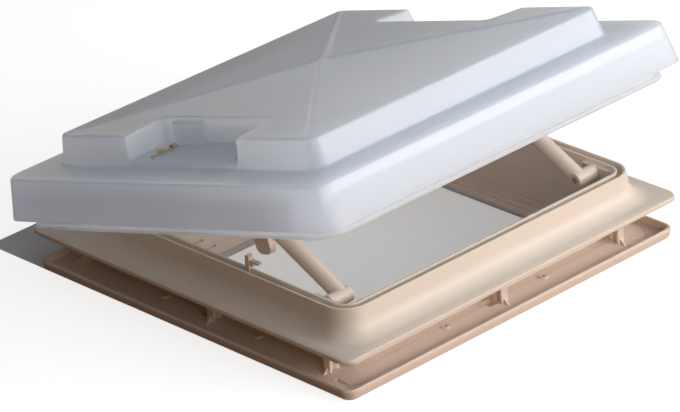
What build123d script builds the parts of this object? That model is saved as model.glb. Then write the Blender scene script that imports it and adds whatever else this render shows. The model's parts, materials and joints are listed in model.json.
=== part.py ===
from build123d import *
import os
from math import atan2, cos, degrees, hypot, radians, sin

# Caravan roof hatch for a 400 mm square roof opening, shown tilted open.
# Millimetres. The origin is the centre of the roof opening on the roof's outer surface.
# +X runs along the lid hinge, +Y towards the hinge, +Z up. Left is -X and right is +X.
# Squares are given by their half width. Lid sizes are heights above the bottom edge of the
# outer dome's skirt, in the lid's own closed frame, which the hinge then turns open.

# Roof opening and roof frame
CUTOUT = 200.0              # half width of the hole in the roof
FLANGE = CUTOUT + 47.5      # half width of the flange on the roof
FLANGE_CORNER = 15.0
FLANGE_LIP = 5.2            # height of the flange's edge
FLARE_FOOT = FLANGE - 10.0  # where the flare leaves the flange
FLARE_FOOT_CORNER = 36.0
FLARE_R = 20.0
UPSTAND = CUTOUT + 15.6     # half width of the upstand at its rim
UPSTAND_CORNER = 28.5
RIM_Z = 37.4
WALL = 3.0                  # moulded wall of the frame
GROOVE_OUT = UPSTAND - 3.1
GROOVE_IN = GROOVE_OUT - 6.5
GROOVE_FLOOR_Z = 27.0
BORE_TOP = GROOVE_IN - WALL  # half width of the clear way at the rim
BORE_ROOF = CUTOUT - 2.8    # at the roof surface
BORE_FOOT = CUTOUT - 4.5    # at the collar's foot
COLLAR_ROOF = CUTOUT - 0.5
COLLAR_FOOT = COLLAR_ROOF - 1.0
COLLAR_Z = -36.0
EDGE = 0.8                  # softening of the rim's edges
RIB_T = 2.5
RIB_PITCH = 120.0
FLARE_STEPS = 5

# Ceiling trim
TRIM_Z = -44.1
TRIM_BASE = 2.6
TRIM_HALF = CUTOUT + 43.0
TRIM_CORNER = 12.8
TRIM_RIM_Z = -32.6
TRIM_RIM_T = 3.6
TRIM_EDGE = 1.4             # rounding of the trim's outer edges
TRIM_EDGE_H = 1.5
TRIM_CROWN_H = 4.0          # where the wall stops widening below the rim
RAMP_OUT = TRIM_HALF - 11.0
RAMP_IN = CUTOUT + 10.0
RAMP_TOP_Z = -36.3
RAMP_FOOT_Z = -41.0
SLEEVE_OUT = BORE_FOOT - 0.5
SLEEVE_IN = SLEEVE_OUT - 2.7
SLEEVE_Z = -34.0
SLOT_X = RAMP_OUT - 11.0    # corner slot at one end of each ramp
SLOT_W = 4.0
SCREW_HOLE_X = 72.6         # ceiling screws
SCREW_HOLE_R = 2.25
SCREW_BOSS_R = 5.0
SCREW_BOSS_H = 1.2
WINDOW_W = 14.0             # window beside each clamp
WINDOW_GAP = 1.0
WINDOW_Y = (CUTOUT + 2.0, RAMP_IN + 4.0)

# Clamps that grip the roof from inside
CLAMP_W = 9.0
CLAMP_TOP_Z = -20.0
CLAMP_T = 2.6
CLAMP_OUT = CUTOUT + 18.0
CLAMP_AXIS = CUTOUT + 6.0
CLAMP_BOSS_R = 4.4
CLAMP_X = (6.5, CUTOUT - 16.0)
GUSSET_L = 11.0             # triangle in front of a clamp's plate
GUSSET_TOP_Z = RAMP_TOP_Z + 4.0
SCREW_END_GAP = 1.0         # blind hole beyond a clamp screw's end
CLAMP_SCREW_R = 2.0
CLAMP_SCREW_TOP_Z = -24.0
SCREW_HEAD_R = 3.6
SCREW_HEAD_H = 1.8

# Fly screen
SCREEN_GAP = 0.3
SCREEN_STEP = SLEEVE_IN - 8.3
SCREEN_IN = SCREEN_STEP - 14.0
SCREEN_STEP_CORNER = 5.0
SCREEN_IN_CORNER = 6.0
SCREEN_TOP_Z = -40.4
SCREEN_LEDGE_Z = -42.0
PANEL_Y = SCREEN_IN - 64.0  # the vent panel runs from here to the hinge side
NET_BORDER = 4.0
NET_T = 0.4
NET_NX = 16
NET_NY = 12
NET_CORD = 1.3
VENT_L = 26.0
VENT_W = 5.0
VENT_PITCH = 50.0
VENT_ROWS = (24.0, 44.0)    # beyond the panel's edge

# Lid hinge
HINGE_Y = UPSTAND + 20.4
HINGE_Z = 28.8
HINGE_LIFT = 5.57           # hinge axis above the skirt's bottom edge
OPEN_ANGLE = 15.6
HINGE_X = 120.0
KNUCKLE_R = 4.2
KNUCKLE_W = 18.0
EAR_T = 5.0
EAR_TOP_Z = RIM_Z - 7.0     # upper and lower roots of an ear
EAR_LOW_Z = 16.0
EAR_ROOT_R = 2.0
SIDE_PLAY = 0.3
PIN_R = 2.0
PIN_CAP = 1.2               # rim and thickness of a hinge pin's head
RUN = 0.05                  # radial clearance of a running fit
SEAT = 0.02                 # radial clearance of a fixed fit
LEAF_T = 2.5
LEAF_W = 44.0
LEAF_Z0 = 13.0
LEAF_Z1 = 29.0
LEAF_SCREW_END = 1.5        # how far a leaf screw passes the dome's wall
LEAF_HEAD_H = 1.6
LEAF_RISE = 6.0             # how far the knuckle's tongue reaches up the plate
LEAF_HOLE = 6.0             # screw hole to the plate's end
TONGUE_R = 1.5

# Outer dome
SKIRT = UPSTAND + 50.4
SKIRT_CORNER = 24.3
LEDGE = SKIRT - 6.0
LEDGE_CORNER = 25.0
LEDGE_Z = 45.0
LEDGE_ROUND = 1.6           # rounding of the ledge's edge
LEDGE_ROUND_H = 2.0
LEDGE_SWELL = 0.4
TIER = SKIRT - 50.0
TIER_CORNER = 19.0
TIER_TOP = TIER - 6.7
TIER_TOP_CORNER = 11.5
TIER_Z = 77.5
TIER_ROUND = 1.4            # rounding of the tier's upper edge
TIER_ROUND_H = 3.0
TIER_SWELL = 0.6
APEX_Z = 91.5
APEX = 3.0
SHELL = 3.0
RIDGE_R = 5.0
RIDGE_RISE = 1.2
RECESS_BACK = TIER - 59.0
RECESS_Y = (-93.0, 91.0)
RECESS_Z = 51.0
RECESS_CORNER = 8.0
RECESS_DRAFT = 1.5          # widening over the draft height
DRAFT_H = 20.0
BLOCK_Y = (20.5, 73.5)
BLOCK_D = 5.0
BLOCK_H = 24.0
BLOCK_ROOT = 6.0            # how far the block reaches behind the back wall
BLOCK_CORNER = 3.0

# Inner dome
LIP_Z = -14.2
LIP_T = 4.5
LIP_CHAMFER = 1.2
INNER_WALL = SKIRT - 21.0
LIP = INNER_WALL + 7.0
INNER_WALL_TOP = INNER_WALL - 2.0
INNER_CORNER = 22.0
INNER_T = 2.5
CEILING_Z = 33.0
FIELD = 135.0
FIELD_Z = 58.0
FIELD_DRAFT = 5.0
FIELD_CORNER = 18.0
FIELD_TOP_CORNER = 14.0
JOIN_Z = 1.0
SEAL_RIB = GROOVE_OUT - 2.3
SEAL_RIB_T = 2.0
SEAL_RIB_Z = 13.5
SEAL_OUT = SEAL_RIB + 1.2
SEAL_IN = SEAL_RIB - 3.0
SEAL_Z = 11.2
SEAL_H = 6.0

# Recess fastenings and the brackets below them
STAY_X = CUTOUT - 24.0      # plane of each stay
BOLT_X = STAY_X - 6.0
BOLT_Y = (-73.0, 67.0)
BOLT_R = 2.0
BOLT_HEAD_R = 4.0
BOLT_HEAD_H = 2.6
BOLT_HEAD_ROUND = 1.2
BOLT_END = 1.0              # how far a bolt passes its nut
PAD_L = 40.0
PAD_W = 15.0
PAD_H = 1.0
CLIP_L = 37.0
CLIP_W = 9.0
CLIP_T = 1.2
CLIP_INSET = 6.0
CLIP_ARCH = 4.0             # the clip's raised part, outward of its middle
CLIP_ARCH_R = 3.2
CLIP_ARCH_W = CLIP_W - 3.0
BOLT_SLEEVE_R = 5.0
NUT_AF = 7.0
NUT_H = 3.0

# Telescopic stays
FOOT_Y = 31.0 - CUTOUT
FOOT_Z = 27.1
EYE_Y = FOOT_Y + 147.3      # upper pivot in the lid's frame
EYE_Z = 14.4
BARREL_R = 8.85
BARREL_X = (STAY_X - 9.0, STAY_X + 20.5)
TUBE_R = 9.0
TUBE_L = 122.0
TUBE_BORE = 6.5
TUBE_FLOOR = 14.0
ROD_R = 5.0
ROD_TAIL = 92.0             # end of the rod inside the tube when open
BUSH_L = 18.0
BUSH_FLANGE = 3.0
BUSH_FLANGE_R = 8.4
LOCK_R = 10.4
LOCK_L = 16.0
LOCK_WALL = 3.0
LOCK_RIBS = 24
LOCK_PLAY = 0.3
FLUTE_R = 0.9
FLUTE_OUT = 0.5             # flute axis beyond the ring's surface
FLUTE_END = 1.0
BARREL_ROUND = 1.0
FOOT_PIN_R = 4.0
FOOT_PIN_X = STAY_X
FOOT_PLATE_X = CUTOUT - 3.2
FOOT_Y1 = FOOT_Y + 17.0
FOOT_Z0 = 17.0
FOOT_Z1 = 34.0
FOOT_LEG_X = STAY_X - 2.0
FOOT_LEG_T = 4.0
RIVET_R = 1.5
RIVET_HEAD_R = 2.8
RIVET_HEAD_H = 1.2
RIVET_Z = 31.0
RIVET_X = STAY_X + 5.0
RIVET_Y = FOOT_Y1 - 4.5
RIVET_GRIP = 0.4            # how far a rivet reaches past the wall of the groove
EYE_R = 7.0
EYE_W = 11.0
EYE_PIN_R = 3.0
PIN_RIM = 1.4
PIN_HEAD = 1.0
LUG_T = 2.5
LUG_R = 7.0
STRIP_X = (STAY_X - 16.0, STAY_X + 9.0)
STRIP_Y = (BOLT_Y[0] - 8.0, BOLT_Y[1] + 8.0)
STRIP_CORNER = 5.0
LUG_ROOT = 4.0              # how far an ear widens to its root
SLOT_SIDE = 0.15            # play of the pin across its slot
STRIP_T = 3.0

# Latches
LATCH_X = CUTOUT - 12.2     # inner face of the handle
LATCH_WALL_PLAY = 0.8
LATCH_Y = -79.0             # pivot in the lid's frame
LATCH_Z = -2.3
LATCH_PIN_R = 2.2
HANDLE_END_Z = -48.0
HANDLE_W = 23.0
HANDLE_RIBS = 5
HANDLE_RIB_R = 1.0
HANDLE_RIB_SPREAD = 1.7     # share of the even pitch
HANDLE_BACK = 4.0           # grip behind the pivot
HANDLE_HUB_R = 6.5
HANDLE_NECK = 10.0          # neck below the pivot
HANDLE_NECK_R = 5.0
HANDLE_END_R = 8.0
HANDLE_CORNER = 15.0
MOUNT_EAR_R = 5.5
MOUNT_ROOT_R = 1.5
PIN_HEAD_RIM = 1.6
PIN_HEAD_T = 1.2
PIN_HEAD_PLAY = 0.2
HOOK_REACH = 22.0
HOOK_TILT = 19.0
HOOK_W = 5.0
FINGER_R = 1.0
FINGER_X = BORE_TOP + 2.0
MOUNT_T = 2.0
MOUNT_GAP = 0.3
MOUNT_X = CUTOUT + 2.0      # outer edge of the mount
MOUNT_Y = (-95.0, -61.0)
MOUNT_SCREW_X = CUTOUT - 5.0
MOUNT_SCREW_Y = (-89.0, -67.0)
CATCH_Y = (-63.0, -57.0)
CATCH_X = (BORE_TOP - 2.2, GROOVE_IN + 0.8)
CATCH_Z = (29.0, 52.0)
CATCH_ROUND = 2.5
CATCH_ROOT = 5.0            # thickening where the tab leaves the post
CATCH_ROOT_H = 4.0
TAB_END = 1.0               # how far the tab passes the handle's finger
TAB_Y = -77.0
TAB_Z = (44.2, 46.6)

EPS = 0.5                   # how far a cutting solid runs past a face


def corner(half):
    """Corner radius that is concentric with the upstand's corner."""
    return UPSTAND_CORNER - (UPSTAND - half)


def lid_corner(half):
    """Corner radius that is concentric with the inner dome's wall."""
    return max(INNER_CORNER - (INNER_WALL - half), 2.0)


def squares(*sections):
    """Solid through rounded squares given as (half width, corner radius, height)."""
    faces = [Pos(0, 0, z) * RectangleRounded(2 * h, 2 * h, r) for h, r, z in sections]
    return loft(faces, ruled=True)


def block(x, y, z):
    """Box between two x, two y and two z values, in any order."""
    size = [abs(a[1] - a[0]) for a in (x, y, z)]
    middle = [(a[0] + a[1]) / 2 for a in (x, y, z)]
    return Pos(*middle) * Box(*size)


def rod_x(r, x, y, z):
    """Cylinder along X between two x values."""
    place = Pos((x[0] + x[1]) / 2, y, z) * Rot(0, 90, 0)
    return place * Cylinder(r, abs(x[1] - x[0]))


def rod_y(r, x, y, z):
    """Cylinder along Y between two y values."""
    place = Pos(x, (y[0] + y[1]) / 2, z) * Rot(90, 0, 0)
    return place * Cylinder(r, abs(y[1] - y[0]))


def rod_z(r, x, y, z):
    """Cylinder along Z between two z values."""
    return Pos(x, y, (z[0] + z[1]) / 2) * Cylinder(r, abs(z[1] - z[0]))


def hull_x(x, *circles):
    """Plate across X whose outline wraps circles given as (y, z, radius)."""
    edges = []
    for y, z, r in circles:
        edges += (Pos(y, z) * Circle(r)).edges()
    return extrude(Plane.YZ.offset(x[0]) * make_hull(edges), amount=x[1] - x[0])


def mirrored(shape):
    """The same piece on the other side of the middle plane."""
    return mirror(shape, about=Plane.YZ)


def group(pieces):
    """Separate solids of one node."""
    return Compound([solid for piece in pieces for solid in piece.solids()])


def four(shape):
    """The piece at each of the four sides."""
    return [Rot(0, 0, 90 * i) * shape for i in range(4)]


def bore_half(z):
    """Half width of the clear way through the frame at a height."""
    if z >= 0:
        return BORE_ROOF + (BORE_TOP - BORE_ROOF) * z / (RIM_Z - EDGE)
    return BORE_ROOF + (BORE_FOOT - BORE_ROOF) * z / COLLAR_Z


def bore_square(z, grow=0.0):
    h = bore_half(z) + grow
    return (h, corner(h), z)


def dome_wall(z, inset=0.0):
    """Section of the inner dome's drafted wall."""
    slope = (INNER_WALL - INNER_WALL_TOP) / (CEILING_Z + INNER_T - LIP_Z)
    h = INNER_WALL - (z - LIP_Z) * slope - inset
    return (h, lid_corner(h), z)


# Lid placement: the lid is modelled closed over its own skirt edge and turned about the hinge
CLOSED = Pos(0, 0, HINGE_Z - HINGE_LIFT)
HINGE_TURN = Pos(0, HINGE_Y, HINGE_Z) * Rot(-OPEN_ANGLE, 0, 0) * Pos(0, -HINGE_Y, -HINGE_Z)
LID = HINGE_TURN * CLOSED


def lid_point(y, z, angle):
    """Where a point of the lid's side view lies with the lid raised by an angle."""
    dy = y - HINGE_Y
    dz = z - HINGE_LIFT
    a = radians(angle)
    return HINGE_Y + dy * cos(a) + dz * sin(a), HINGE_Z - dy * sin(a) + dz * cos(a)


def stay_line(angle):
    """Length and slope of the line from the stay's foot to its upper pivot."""
    y, z = lid_point(EYE_Y, EYE_Z, angle)
    return hypot(y - FOOT_Y, z - FOOT_Z), atan2(z - FOOT_Z, y - FOOT_Y)


def slot_travel():
    """How far the upper pin moves in its slot while stay and lid turn at steady ratios."""
    shut_l, shut_a = stay_line(0)
    open_l, open_a = stay_line(OPEN_ANGLE)
    ys = []
    zs = []
    for i in range(21):
        f = i / 20
        length = shut_l + (open_l - shut_l) * f
        slope = shut_a + (open_a - shut_a) * f
        dy = FOOT_Y + length * cos(slope) - HINGE_Y
        dz = FOOT_Z + length * sin(slope) - HINGE_Z
        a = radians(OPEN_ANGLE * f)
        ys.append(HINGE_Y + dy * cos(a) - dz * sin(a))
        zs.append(HINGE_LIFT + dy * sin(a) + dz * cos(a))
    return (min(ys), max(ys)), (min(zs), max(zs))


# Roof frame
def flare_sections(inset):
    """Sections up the flare's arc, offset inwards by a wall."""
    top = FLANGE_LIP + FLARE_R
    out = []
    for i in range(FLARE_STEPS + 1):
        t = radians(90 * i / FLARE_STEPS)
        h = FLARE_FOOT - (FLARE_R + inset) * sin(t)
        z = top - (FLARE_R + inset) * cos(t)
        share = (FLARE_FOOT - h) / (FLARE_FOOT - UPSTAND)
        r = FLARE_FOOT_CORNER + (UPSTAND_CORNER - FLARE_FOOT_CORNER) * min(share, 1)
        out.append((h, r, z))
    return out


def frame_bore():
    """The clear way through the frame, open at both ends."""
    top = bore_square(RIM_Z - EDGE)
    return squares(bore_square(COLLAR_Z), bore_square(0), top) + squares(
        top, (BORE_TOP + EDGE, corner(BORE_TOP + EDGE), RIM_Z)
    )


def make_roof_frame():
    flange = squares((FLANGE, FLANGE_CORNER, 0), (FLANGE, FLANGE_CORNER, FLANGE_LIP))
    rim = [
        (UPSTAND, UPSTAND_CORNER, RIM_Z - EDGE),
        (UPSTAND - EDGE, UPSTAND_CORNER - EDGE, RIM_Z),
    ]
    body = flange + squares(*flare_sections(0), *rim)
    body += squares(
        (COLLAR_FOOT, corner(COLLAR_FOOT), COLLAR_Z), (COLLAR_ROOF, corner(COLLAR_ROOF), EPS)
    )
    groove = squares(
        (GROOVE_OUT, corner(GROOVE_OUT), GROOVE_FLOOR_Z),
        (GROOVE_OUT, corner(GROOVE_OUT), RIM_Z - EDGE),
        (GROOVE_OUT + EDGE, corner(GROOVE_OUT + EDGE), RIM_Z),
    )
    groove -= squares(
        (GROOVE_IN, corner(GROOVE_IN), GROOVE_FLOOR_Z),
        (GROOVE_IN, corner(GROOVE_IN), RIM_Z - EDGE),
        (GROOVE_IN - EDGE, corner(GROOVE_IN - EDGE), RIM_Z),
    )
    body -= groove
    body -= frame_bore()
    pocket_top = GROOVE_FLOOR_Z - WALL
    skin = [s for s in flare_sections(WALL) if s[2] < pocket_top]
    start = (FLARE_FOOT, FLARE_FOOT_CORNER, 0)
    last = skin[-1]
    pocket = squares(start, *skin, (last[0] - 1.0, last[1] - 1.0, pocket_top))
    pocket -= squares(bore_square(0, WALL), bore_square(pocket_top, WALL))
    ribs = []
    for x in (-RIB_PITCH, 0.0, RIB_PITCH):
        ribs += four(block((x - RIB_T / 2, x + RIB_T / 2), (-FLANGE, -CUTOUT), (0, RIM_Z)))
    for rib in ribs:
        pocket -= rib
    body -= pocket
    inner = KNUCKLE_W / 2 + SIDE_PLAY
    for side in (-1, 1):
        for x in (side * HINGE_X - inner - EAR_T, side * HINGE_X + inner):
            body += hull_x(
                (x, x + EAR_T),
                (HINGE_Y, HINGE_Z, KNUCKLE_R),
                (UPSTAND + EAR_ROOT_R - EPS, EAR_TOP_Z, EAR_ROOT_R),
                (UPSTAND + 2 * EAR_ROOT_R, EAR_LOW_Z, EAR_ROOT_R),
            )
        span = (side * HINGE_X - inner - EAR_T, side * HINGE_X + inner + EAR_T)
        body -= rod_x(PIN_R + SEAT, span, HINGE_Y, HINGE_Z)
        for hole in foot_rivets(side, SEAT):
            body -= hole
    return body


def make_hinge_pin(side):
    reach = KNUCKLE_W / 2 + SIDE_PLAY + EAR_T
    ends = (side * HINGE_X - reach, side * HINGE_X + reach)
    head = rod_x(PIN_R + PIN_CAP, (ends[0] - PIN_CAP, ends[0]), HINGE_Y, HINGE_Z)
    return rod_x(PIN_R, ends, HINGE_Y, HINGE_Z) + head


# Ceiling trim and what clamps it
def clamp_places():
    """Middle and end clamp positions along one side."""
    return [(x, -CLAMP_AXIS) for x in CLAMP_X]


def trim_ramp():
    return squares(
        (RAMP_OUT, corner(RAMP_OUT), RAMP_FOOT_Z), (RAMP_IN, corner(RAMP_IN), RAMP_TOP_Z)
    )


def make_ceiling_trim():
    base_top = TRIM_Z + TRIM_BASE
    body = squares(
        (TRIM_HALF - 2 * TRIM_EDGE, TRIM_CORNER - 2 * TRIM_EDGE, TRIM_Z),
        (TRIM_HALF - TRIM_EDGE, TRIM_CORNER - TRIM_EDGE, TRIM_Z + TRIM_EDGE_H),
        (TRIM_HALF, TRIM_CORNER, TRIM_RIM_Z - TRIM_CROWN_H),
        (TRIM_HALF, TRIM_CORNER, TRIM_RIM_Z - TRIM_EDGE_H),
        (TRIM_HALF - TRIM_EDGE, TRIM_CORNER - TRIM_EDGE, TRIM_RIM_Z),
    )
    hollow = TRIM_HALF - TRIM_RIM_T
    body -= squares((hollow - 1, TRIM_CORNER - 4.0, base_top), (hollow, TRIM_CORNER - 3.0, TRIM_RIM_Z))
    body += trim_ramp()
    body += squares((RAMP_OUT, corner(RAMP_OUT), base_top), (RAMP_OUT, corner(RAMP_OUT), RAMP_FOOT_Z))
    body += squares((SLEEVE_OUT, corner(SLEEVE_OUT), base_top), (SLEEVE_OUT, corner(SLEEVE_OUT), SLEEVE_Z))
    boss = rod_z(SCREW_BOSS_R, SCREW_HOLE_X, -RAMP_IN, (base_top, RAMP_TOP_Z + SCREW_BOSS_H))
    hole = rod_z(SCREW_HOLE_R, SCREW_HOLE_X, -RAMP_IN, (TRIM_Z - EPS, RIM_Z))
    for piece in four(boss) + four(mirrored(boss)):
        body += piece
    cuts = four(hole) + four(mirrored(hole))
    cuts += four(block((-SLOT_X - SLOT_W / 2, -SLOT_X + SLOT_W / 2), (-RAMP_OUT, -CUTOUT), (base_top, 0)))
    first = CLAMP_X[0] - CLAMP_W / 2
    window = (first - WINDOW_W, first - WINDOW_GAP)
    cuts += four(block(window, (-WINDOW_Y[1], -WINDOW_Y[0]), (base_top, 0)))
    for x, y in clamp_places():
        shank = rod_z(CLAMP_SCREW_R + SEAT, x, y, (TRIM_Z - EPS, RIM_Z))
        head = rod_z(SCREW_HEAD_R + SEAT, x, y, (TRIM_Z - EPS, TRIM_Z + SCREW_HEAD_H))
        cuts += four(shank) + four(head)
    cuts.append(squares((SLEEVE_IN, corner(SLEEVE_IN), TRIM_Z - EPS), (SLEEVE_IN, corner(SLEEVE_IN), 0)))
    for cut in cuts:
        body -= cut
    return body


def make_clamps():
    """Claws with a screw boss, a front plate and a web, standing on the trim's ramp."""
    claws = []
    for x, y in clamp_places():
        web = (x - CLAMP_T / 2, x + CLAMP_T / 2)
        claw = rod_z(CLAMP_BOSS_R, x, y, (RAMP_TOP_Z, CLAMP_TOP_Z))
        claw += block(web, (-CLAMP_OUT, y), (TRIM_Z, CLAMP_TOP_Z))
        claw += block(
            (x - CLAMP_W / 2, x + CLAMP_W / 2),
            (-CLAMP_OUT, -CLAMP_OUT + CLAMP_T),
            (TRIM_Z, CLAMP_TOP_Z),
        )
        claw += block((x - CLAMP_W / 2, x + CLAMP_W / 2), (-CLAMP_OUT, y), (CLAMP_TOP_Z - CLAMP_T, CLAMP_TOP_Z))
        gusset = Polyline(
            (-CLAMP_OUT - GUSSET_L, TRIM_Z), (-CLAMP_OUT, GUSSET_TOP_Z), (-CLAMP_OUT, TRIM_Z), close=True
        )
        claw += extrude(Plane.YZ.offset(web[0]) * make_face(gusset), amount=CLAMP_T)
        claw -= rod_z(CLAMP_SCREW_R + SEAT, x, y, (TRIM_Z, CLAMP_SCREW_TOP_Z + SCREW_END_GAP))
        claw -= trim_ramp()
        claw -= block((x - CLAMP_W, x + CLAMP_W), (-FLANGE, 0), (TRIM_Z - EPS, RAMP_FOOT_Z))
        claws += four(claw)
    return group(claws)


def make_clamp_screws():
    screws = []
    for x, y in clamp_places():
        screw = rod_z(CLAMP_SCREW_R, x, y, (TRIM_Z, CLAMP_SCREW_TOP_Z))
        screw += rod_z(SCREW_HEAD_R, x, y, (TRIM_Z, TRIM_Z + SCREW_HEAD_H))
        screws += four(screw)
    return group(screws)


# Fly screen
def make_screen_frame():
    half = SLEEVE_IN - SCREEN_GAP
    body = squares((half, corner(half), TRIM_Z), (half, corner(half), SCREEN_TOP_Z))
    body -= squares(
        (SCREEN_STEP, SCREEN_STEP_CORNER, SCREEN_LEDGE_Z), (SCREEN_STEP, SCREEN_STEP_CORNER, SCREEN_TOP_Z)
    )
    way = block((-SCREEN_IN, SCREEN_IN), (-SCREEN_IN, PANEL_Y), (TRIM_Z - EPS, 0))
    body -= fillet(way.edges().filter_by(Axis.Z), SCREEN_IN_CORNER)
    for i in range(-2, 3):
        for row in VENT_ROWS:
            place = Pos(i * VENT_PITCH, PANEL_Y + row, TRIM_Z - EPS)
            body -= extrude(place * SlotOverall(VENT_L, VENT_W), amount=SCREEN_TOP_Z - TRIM_Z + 2 * EPS)
    return body


def make_fly_net():
    """One sheet with a grid of meshes, lying on the screen frame's ledge."""
    width = 2 * SCREEN_IN
    depth = SCREEN_IN + PANEL_Y
    middle = (PANEL_Y - SCREEN_IN) / 2
    pitch_x = (width - NET_CORD) / NET_NX
    pitch_y = (depth - NET_CORD) / NET_NY
    sheet = Pos(0, middle) * Rectangle(width + 2 * NET_BORDER, depth + 2 * NET_BORDER)
    mesh = Rectangle(pitch_x - NET_CORD, pitch_y - NET_CORD)
    meshes = [Pos(0, middle) * spot * mesh for spot in GridLocations(pitch_x, pitch_y, NET_NX, NET_NY)]
    outline = sheet.faces()[0].outer_wire()
    holed = Face(outline, [m.faces()[0].outer_wire() for m in meshes])
    return extrude(Pos(0, 0, SCREEN_LEDGE_Z) * holed, amount=NET_T)


# Catches and stay feet on the frame
def make_catch(frame):
    post = block(CATCH_X, CATCH_Y, CATCH_Z)
    wide = (CATCH_X[0], FINGER_X + TAB_END)
    tab = block(wide, (TAB_Y, CATCH_Y[0]), TAB_Z)
    root = block(wide, (CATCH_Y[0] - CATCH_ROOT, CATCH_Y[0]), (TAB_Z[0] - CATCH_ROOT_H, TAB_Z[1]))
    post = fillet(post.edges().filter_by(Axis.X).sort_by(Axis.Z)[-2:], CATCH_ROUND)
    return post + tab + root - frame


def foot_rivets(side, play=0.0):
    """Two rivets of one stay foot: through the front wall and through the side wall."""
    head = RIVET_HEAD_R + play
    front = rod_y(RIVET_R + play, side * RIVET_X, (-GROOVE_IN - RIVET_GRIP, -SLEEVE_OUT), RIVET_Z)
    flat_x = (side * SLEEVE_OUT, side * (GROOVE_IN + RIVET_GRIP))
    flat = rod_x(RIVET_R + play, flat_x, RIVET_Y, RIVET_Z)
    inner = -bore_half(RIVET_Z) + FOOT_LEG_T
    front_head = rod_y(head, side * RIVET_X, (inner, inner + RIVET_HEAD_H), RIVET_Z)
    front -= block((-FLANGE, FLANGE), (inner, 0), (0, RIM_Z))
    flat -= block((-FOOT_PLATE_X, FOOT_PLATE_X), (-FLANGE, FLANGE), (0, RIM_Z))
    head_x = (side * (FOOT_PLATE_X - RIVET_HEAD_H), side * FOOT_PLATE_X)
    flat_head = rod_x(head, head_x, RIVET_Y, RIVET_Z)
    return [front + front_head, flat + flat_head]


def make_stay_foot(side):
    """Corner bracket that follows the frame's drafted bore, with a plate and a leg."""
    plate = block((FOOT_PLATE_X, UPSTAND), (-UPSTAND, FOOT_Y1), (FOOT_Z0, FOOT_Z1))
    leg_y = -bore_half(RIVET_Z) + FOOT_LEG_T
    leg = block((FOOT_LEG_X, UPSTAND), (-UPSTAND, leg_y), (FOOT_Z0, FOOT_Z1))
    foot = (plate + leg) & squares(bore_square(FOOT_Z0), bore_square(FOOT_Z1))
    foot -= rod_x(FOOT_PIN_R + SEAT, (FOOT_PLATE_X - EPS, CUTOUT - 0.6), FOOT_Y, FOOT_Z)
    if side < 0:
        foot = mirrored(foot)
    for hole in foot_rivets(side, SEAT):
        foot -= hole
    return foot


def make_foot_pin(side):
    return rod_x(FOOT_PIN_R, (side * FOOT_PIN_X, side * (CUTOUT - 1.0)), FOOT_Y, FOOT_Z)


# Lid shells
def recess_cut(side, grow):
    """One side recess, grown by a wall where it bounds the shell's inside."""
    top = APEX_Z + 10.0
    depth = SKIRT - RECESS_BACK
    faces = []
    for z, wide in ((RECESS_Z - grow, 0.0), (top, RECESS_DRAFT * (top - RECESS_Z) / DRAFT_H)):
        x0 = RECESS_BACK + RECESS_DRAFT - wide - grow
        y0 = RECESS_Y[0] + RECESS_DRAFT - wide - grow
        y1 = RECESS_Y[1] - RECESS_DRAFT + wide + grow
        shape = RectangleRounded(depth + 2 * grow, y1 - y0, RECESS_CORNER + grow)
        faces.append(Pos(side * (x0 + depth / 2 + grow), (y0 + y1) / 2, z) * shape)
    return loft(faces, ruled=True)


def recess_block(side, inset):
    """Raised block in front of the recess's back wall."""
    x = (RECESS_BACK - BLOCK_ROOT + inset, RECESS_BACK + BLOCK_D - inset)
    y = (BLOCK_Y[0] + inset, BLOCK_Y[1] - inset)
    top = RECESS_Z + BLOCK_H - inset
    solid = block((side * x[0], side * x[1]), y, (RECESS_Z - SHELL - inset, top))
    return fillet(solid.edges().filter_by(Axis.Z), BLOCK_CORNER) if inset == 0 else solid


def recess_pad(x, y):
    return extrude(Pos(x, y, RECESS_Z - EPS) * SlotOverall(PAD_L, PAD_W), amount=EPS + PAD_H)


def clip_centre():
    return BOLT_X - CLIP_INSET + CLIP_L / 2


def bolt_places():
    return [(sx * BOLT_X, y) for sx in (-1, 1) for y in BOLT_Y]


def dome_mass(inset):
    """The outer dome as a full solid, inset for its inside."""
    top = LEDGE_Z - inset
    skirt = squares(
        (SKIRT - inset, SKIRT_CORNER - inset, 0 if inset == 0 else -EPS),
        (LEDGE - inset + LEDGE_SWELL, LEDGE_CORNER - inset, top - LEDGE_ROUND_H),
        (LEDGE - inset - LEDGE_ROUND, LEDGE_CORNER - inset, top),
    )
    tier = squares(
        (TIER - inset, TIER_CORNER - inset, top - 1.0),
        (TIER_TOP - inset + TIER_SWELL, TIER_TOP_CORNER + 1.0 - inset / 2, TIER_Z - inset - TIER_ROUND_H),
        (TIER_TOP - inset - TIER_ROUND, TIER_TOP_CORNER - inset / 2, TIER_Z - inset),
    )
    hip = squares(
        (TIER_TOP - inset - TIER_ROUND, TIER_TOP_CORNER - inset / 2, TIER_Z - inset),
        (APEX, 1.0, APEX_Z - inset),
    )
    return skirt + tier + hip


def hip_ridges():
    """Round ribs along the four hips, cut to the tier's outline."""
    start = Vector(0, 0, APEX_Z + RIDGE_RISE - RIDGE_R)
    reach = TIER_TOP - TIER_TOP_CORNER * 0.3
    ribs = []
    for sx, sy in ((1, 1), (-1, 1), (-1, -1), (1, -1)):
        end = Vector(sx * reach, sy * reach, TIER_Z + RIDGE_RISE - RIDGE_R)
        path = Line(start, end)
        ribs.append(sweep(Plane(origin=start, z_dir=end - start) * Circle(RIDGE_R), path=path))
    edge = (TIER_TOP - TIER_ROUND, TIER_TOP_CORNER)
    limit = squares((*edge, TIER_Z - 2 * RIDGE_R), (*edge, APEX_Z + 2 * RIDGE_R))
    crown = Pos(0, 0, APEX_Z + RIDGE_RISE - RIDGE_R) * Sphere(RIDGE_R)
    return [rib & limit for rib in ribs] + [crown]


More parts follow.
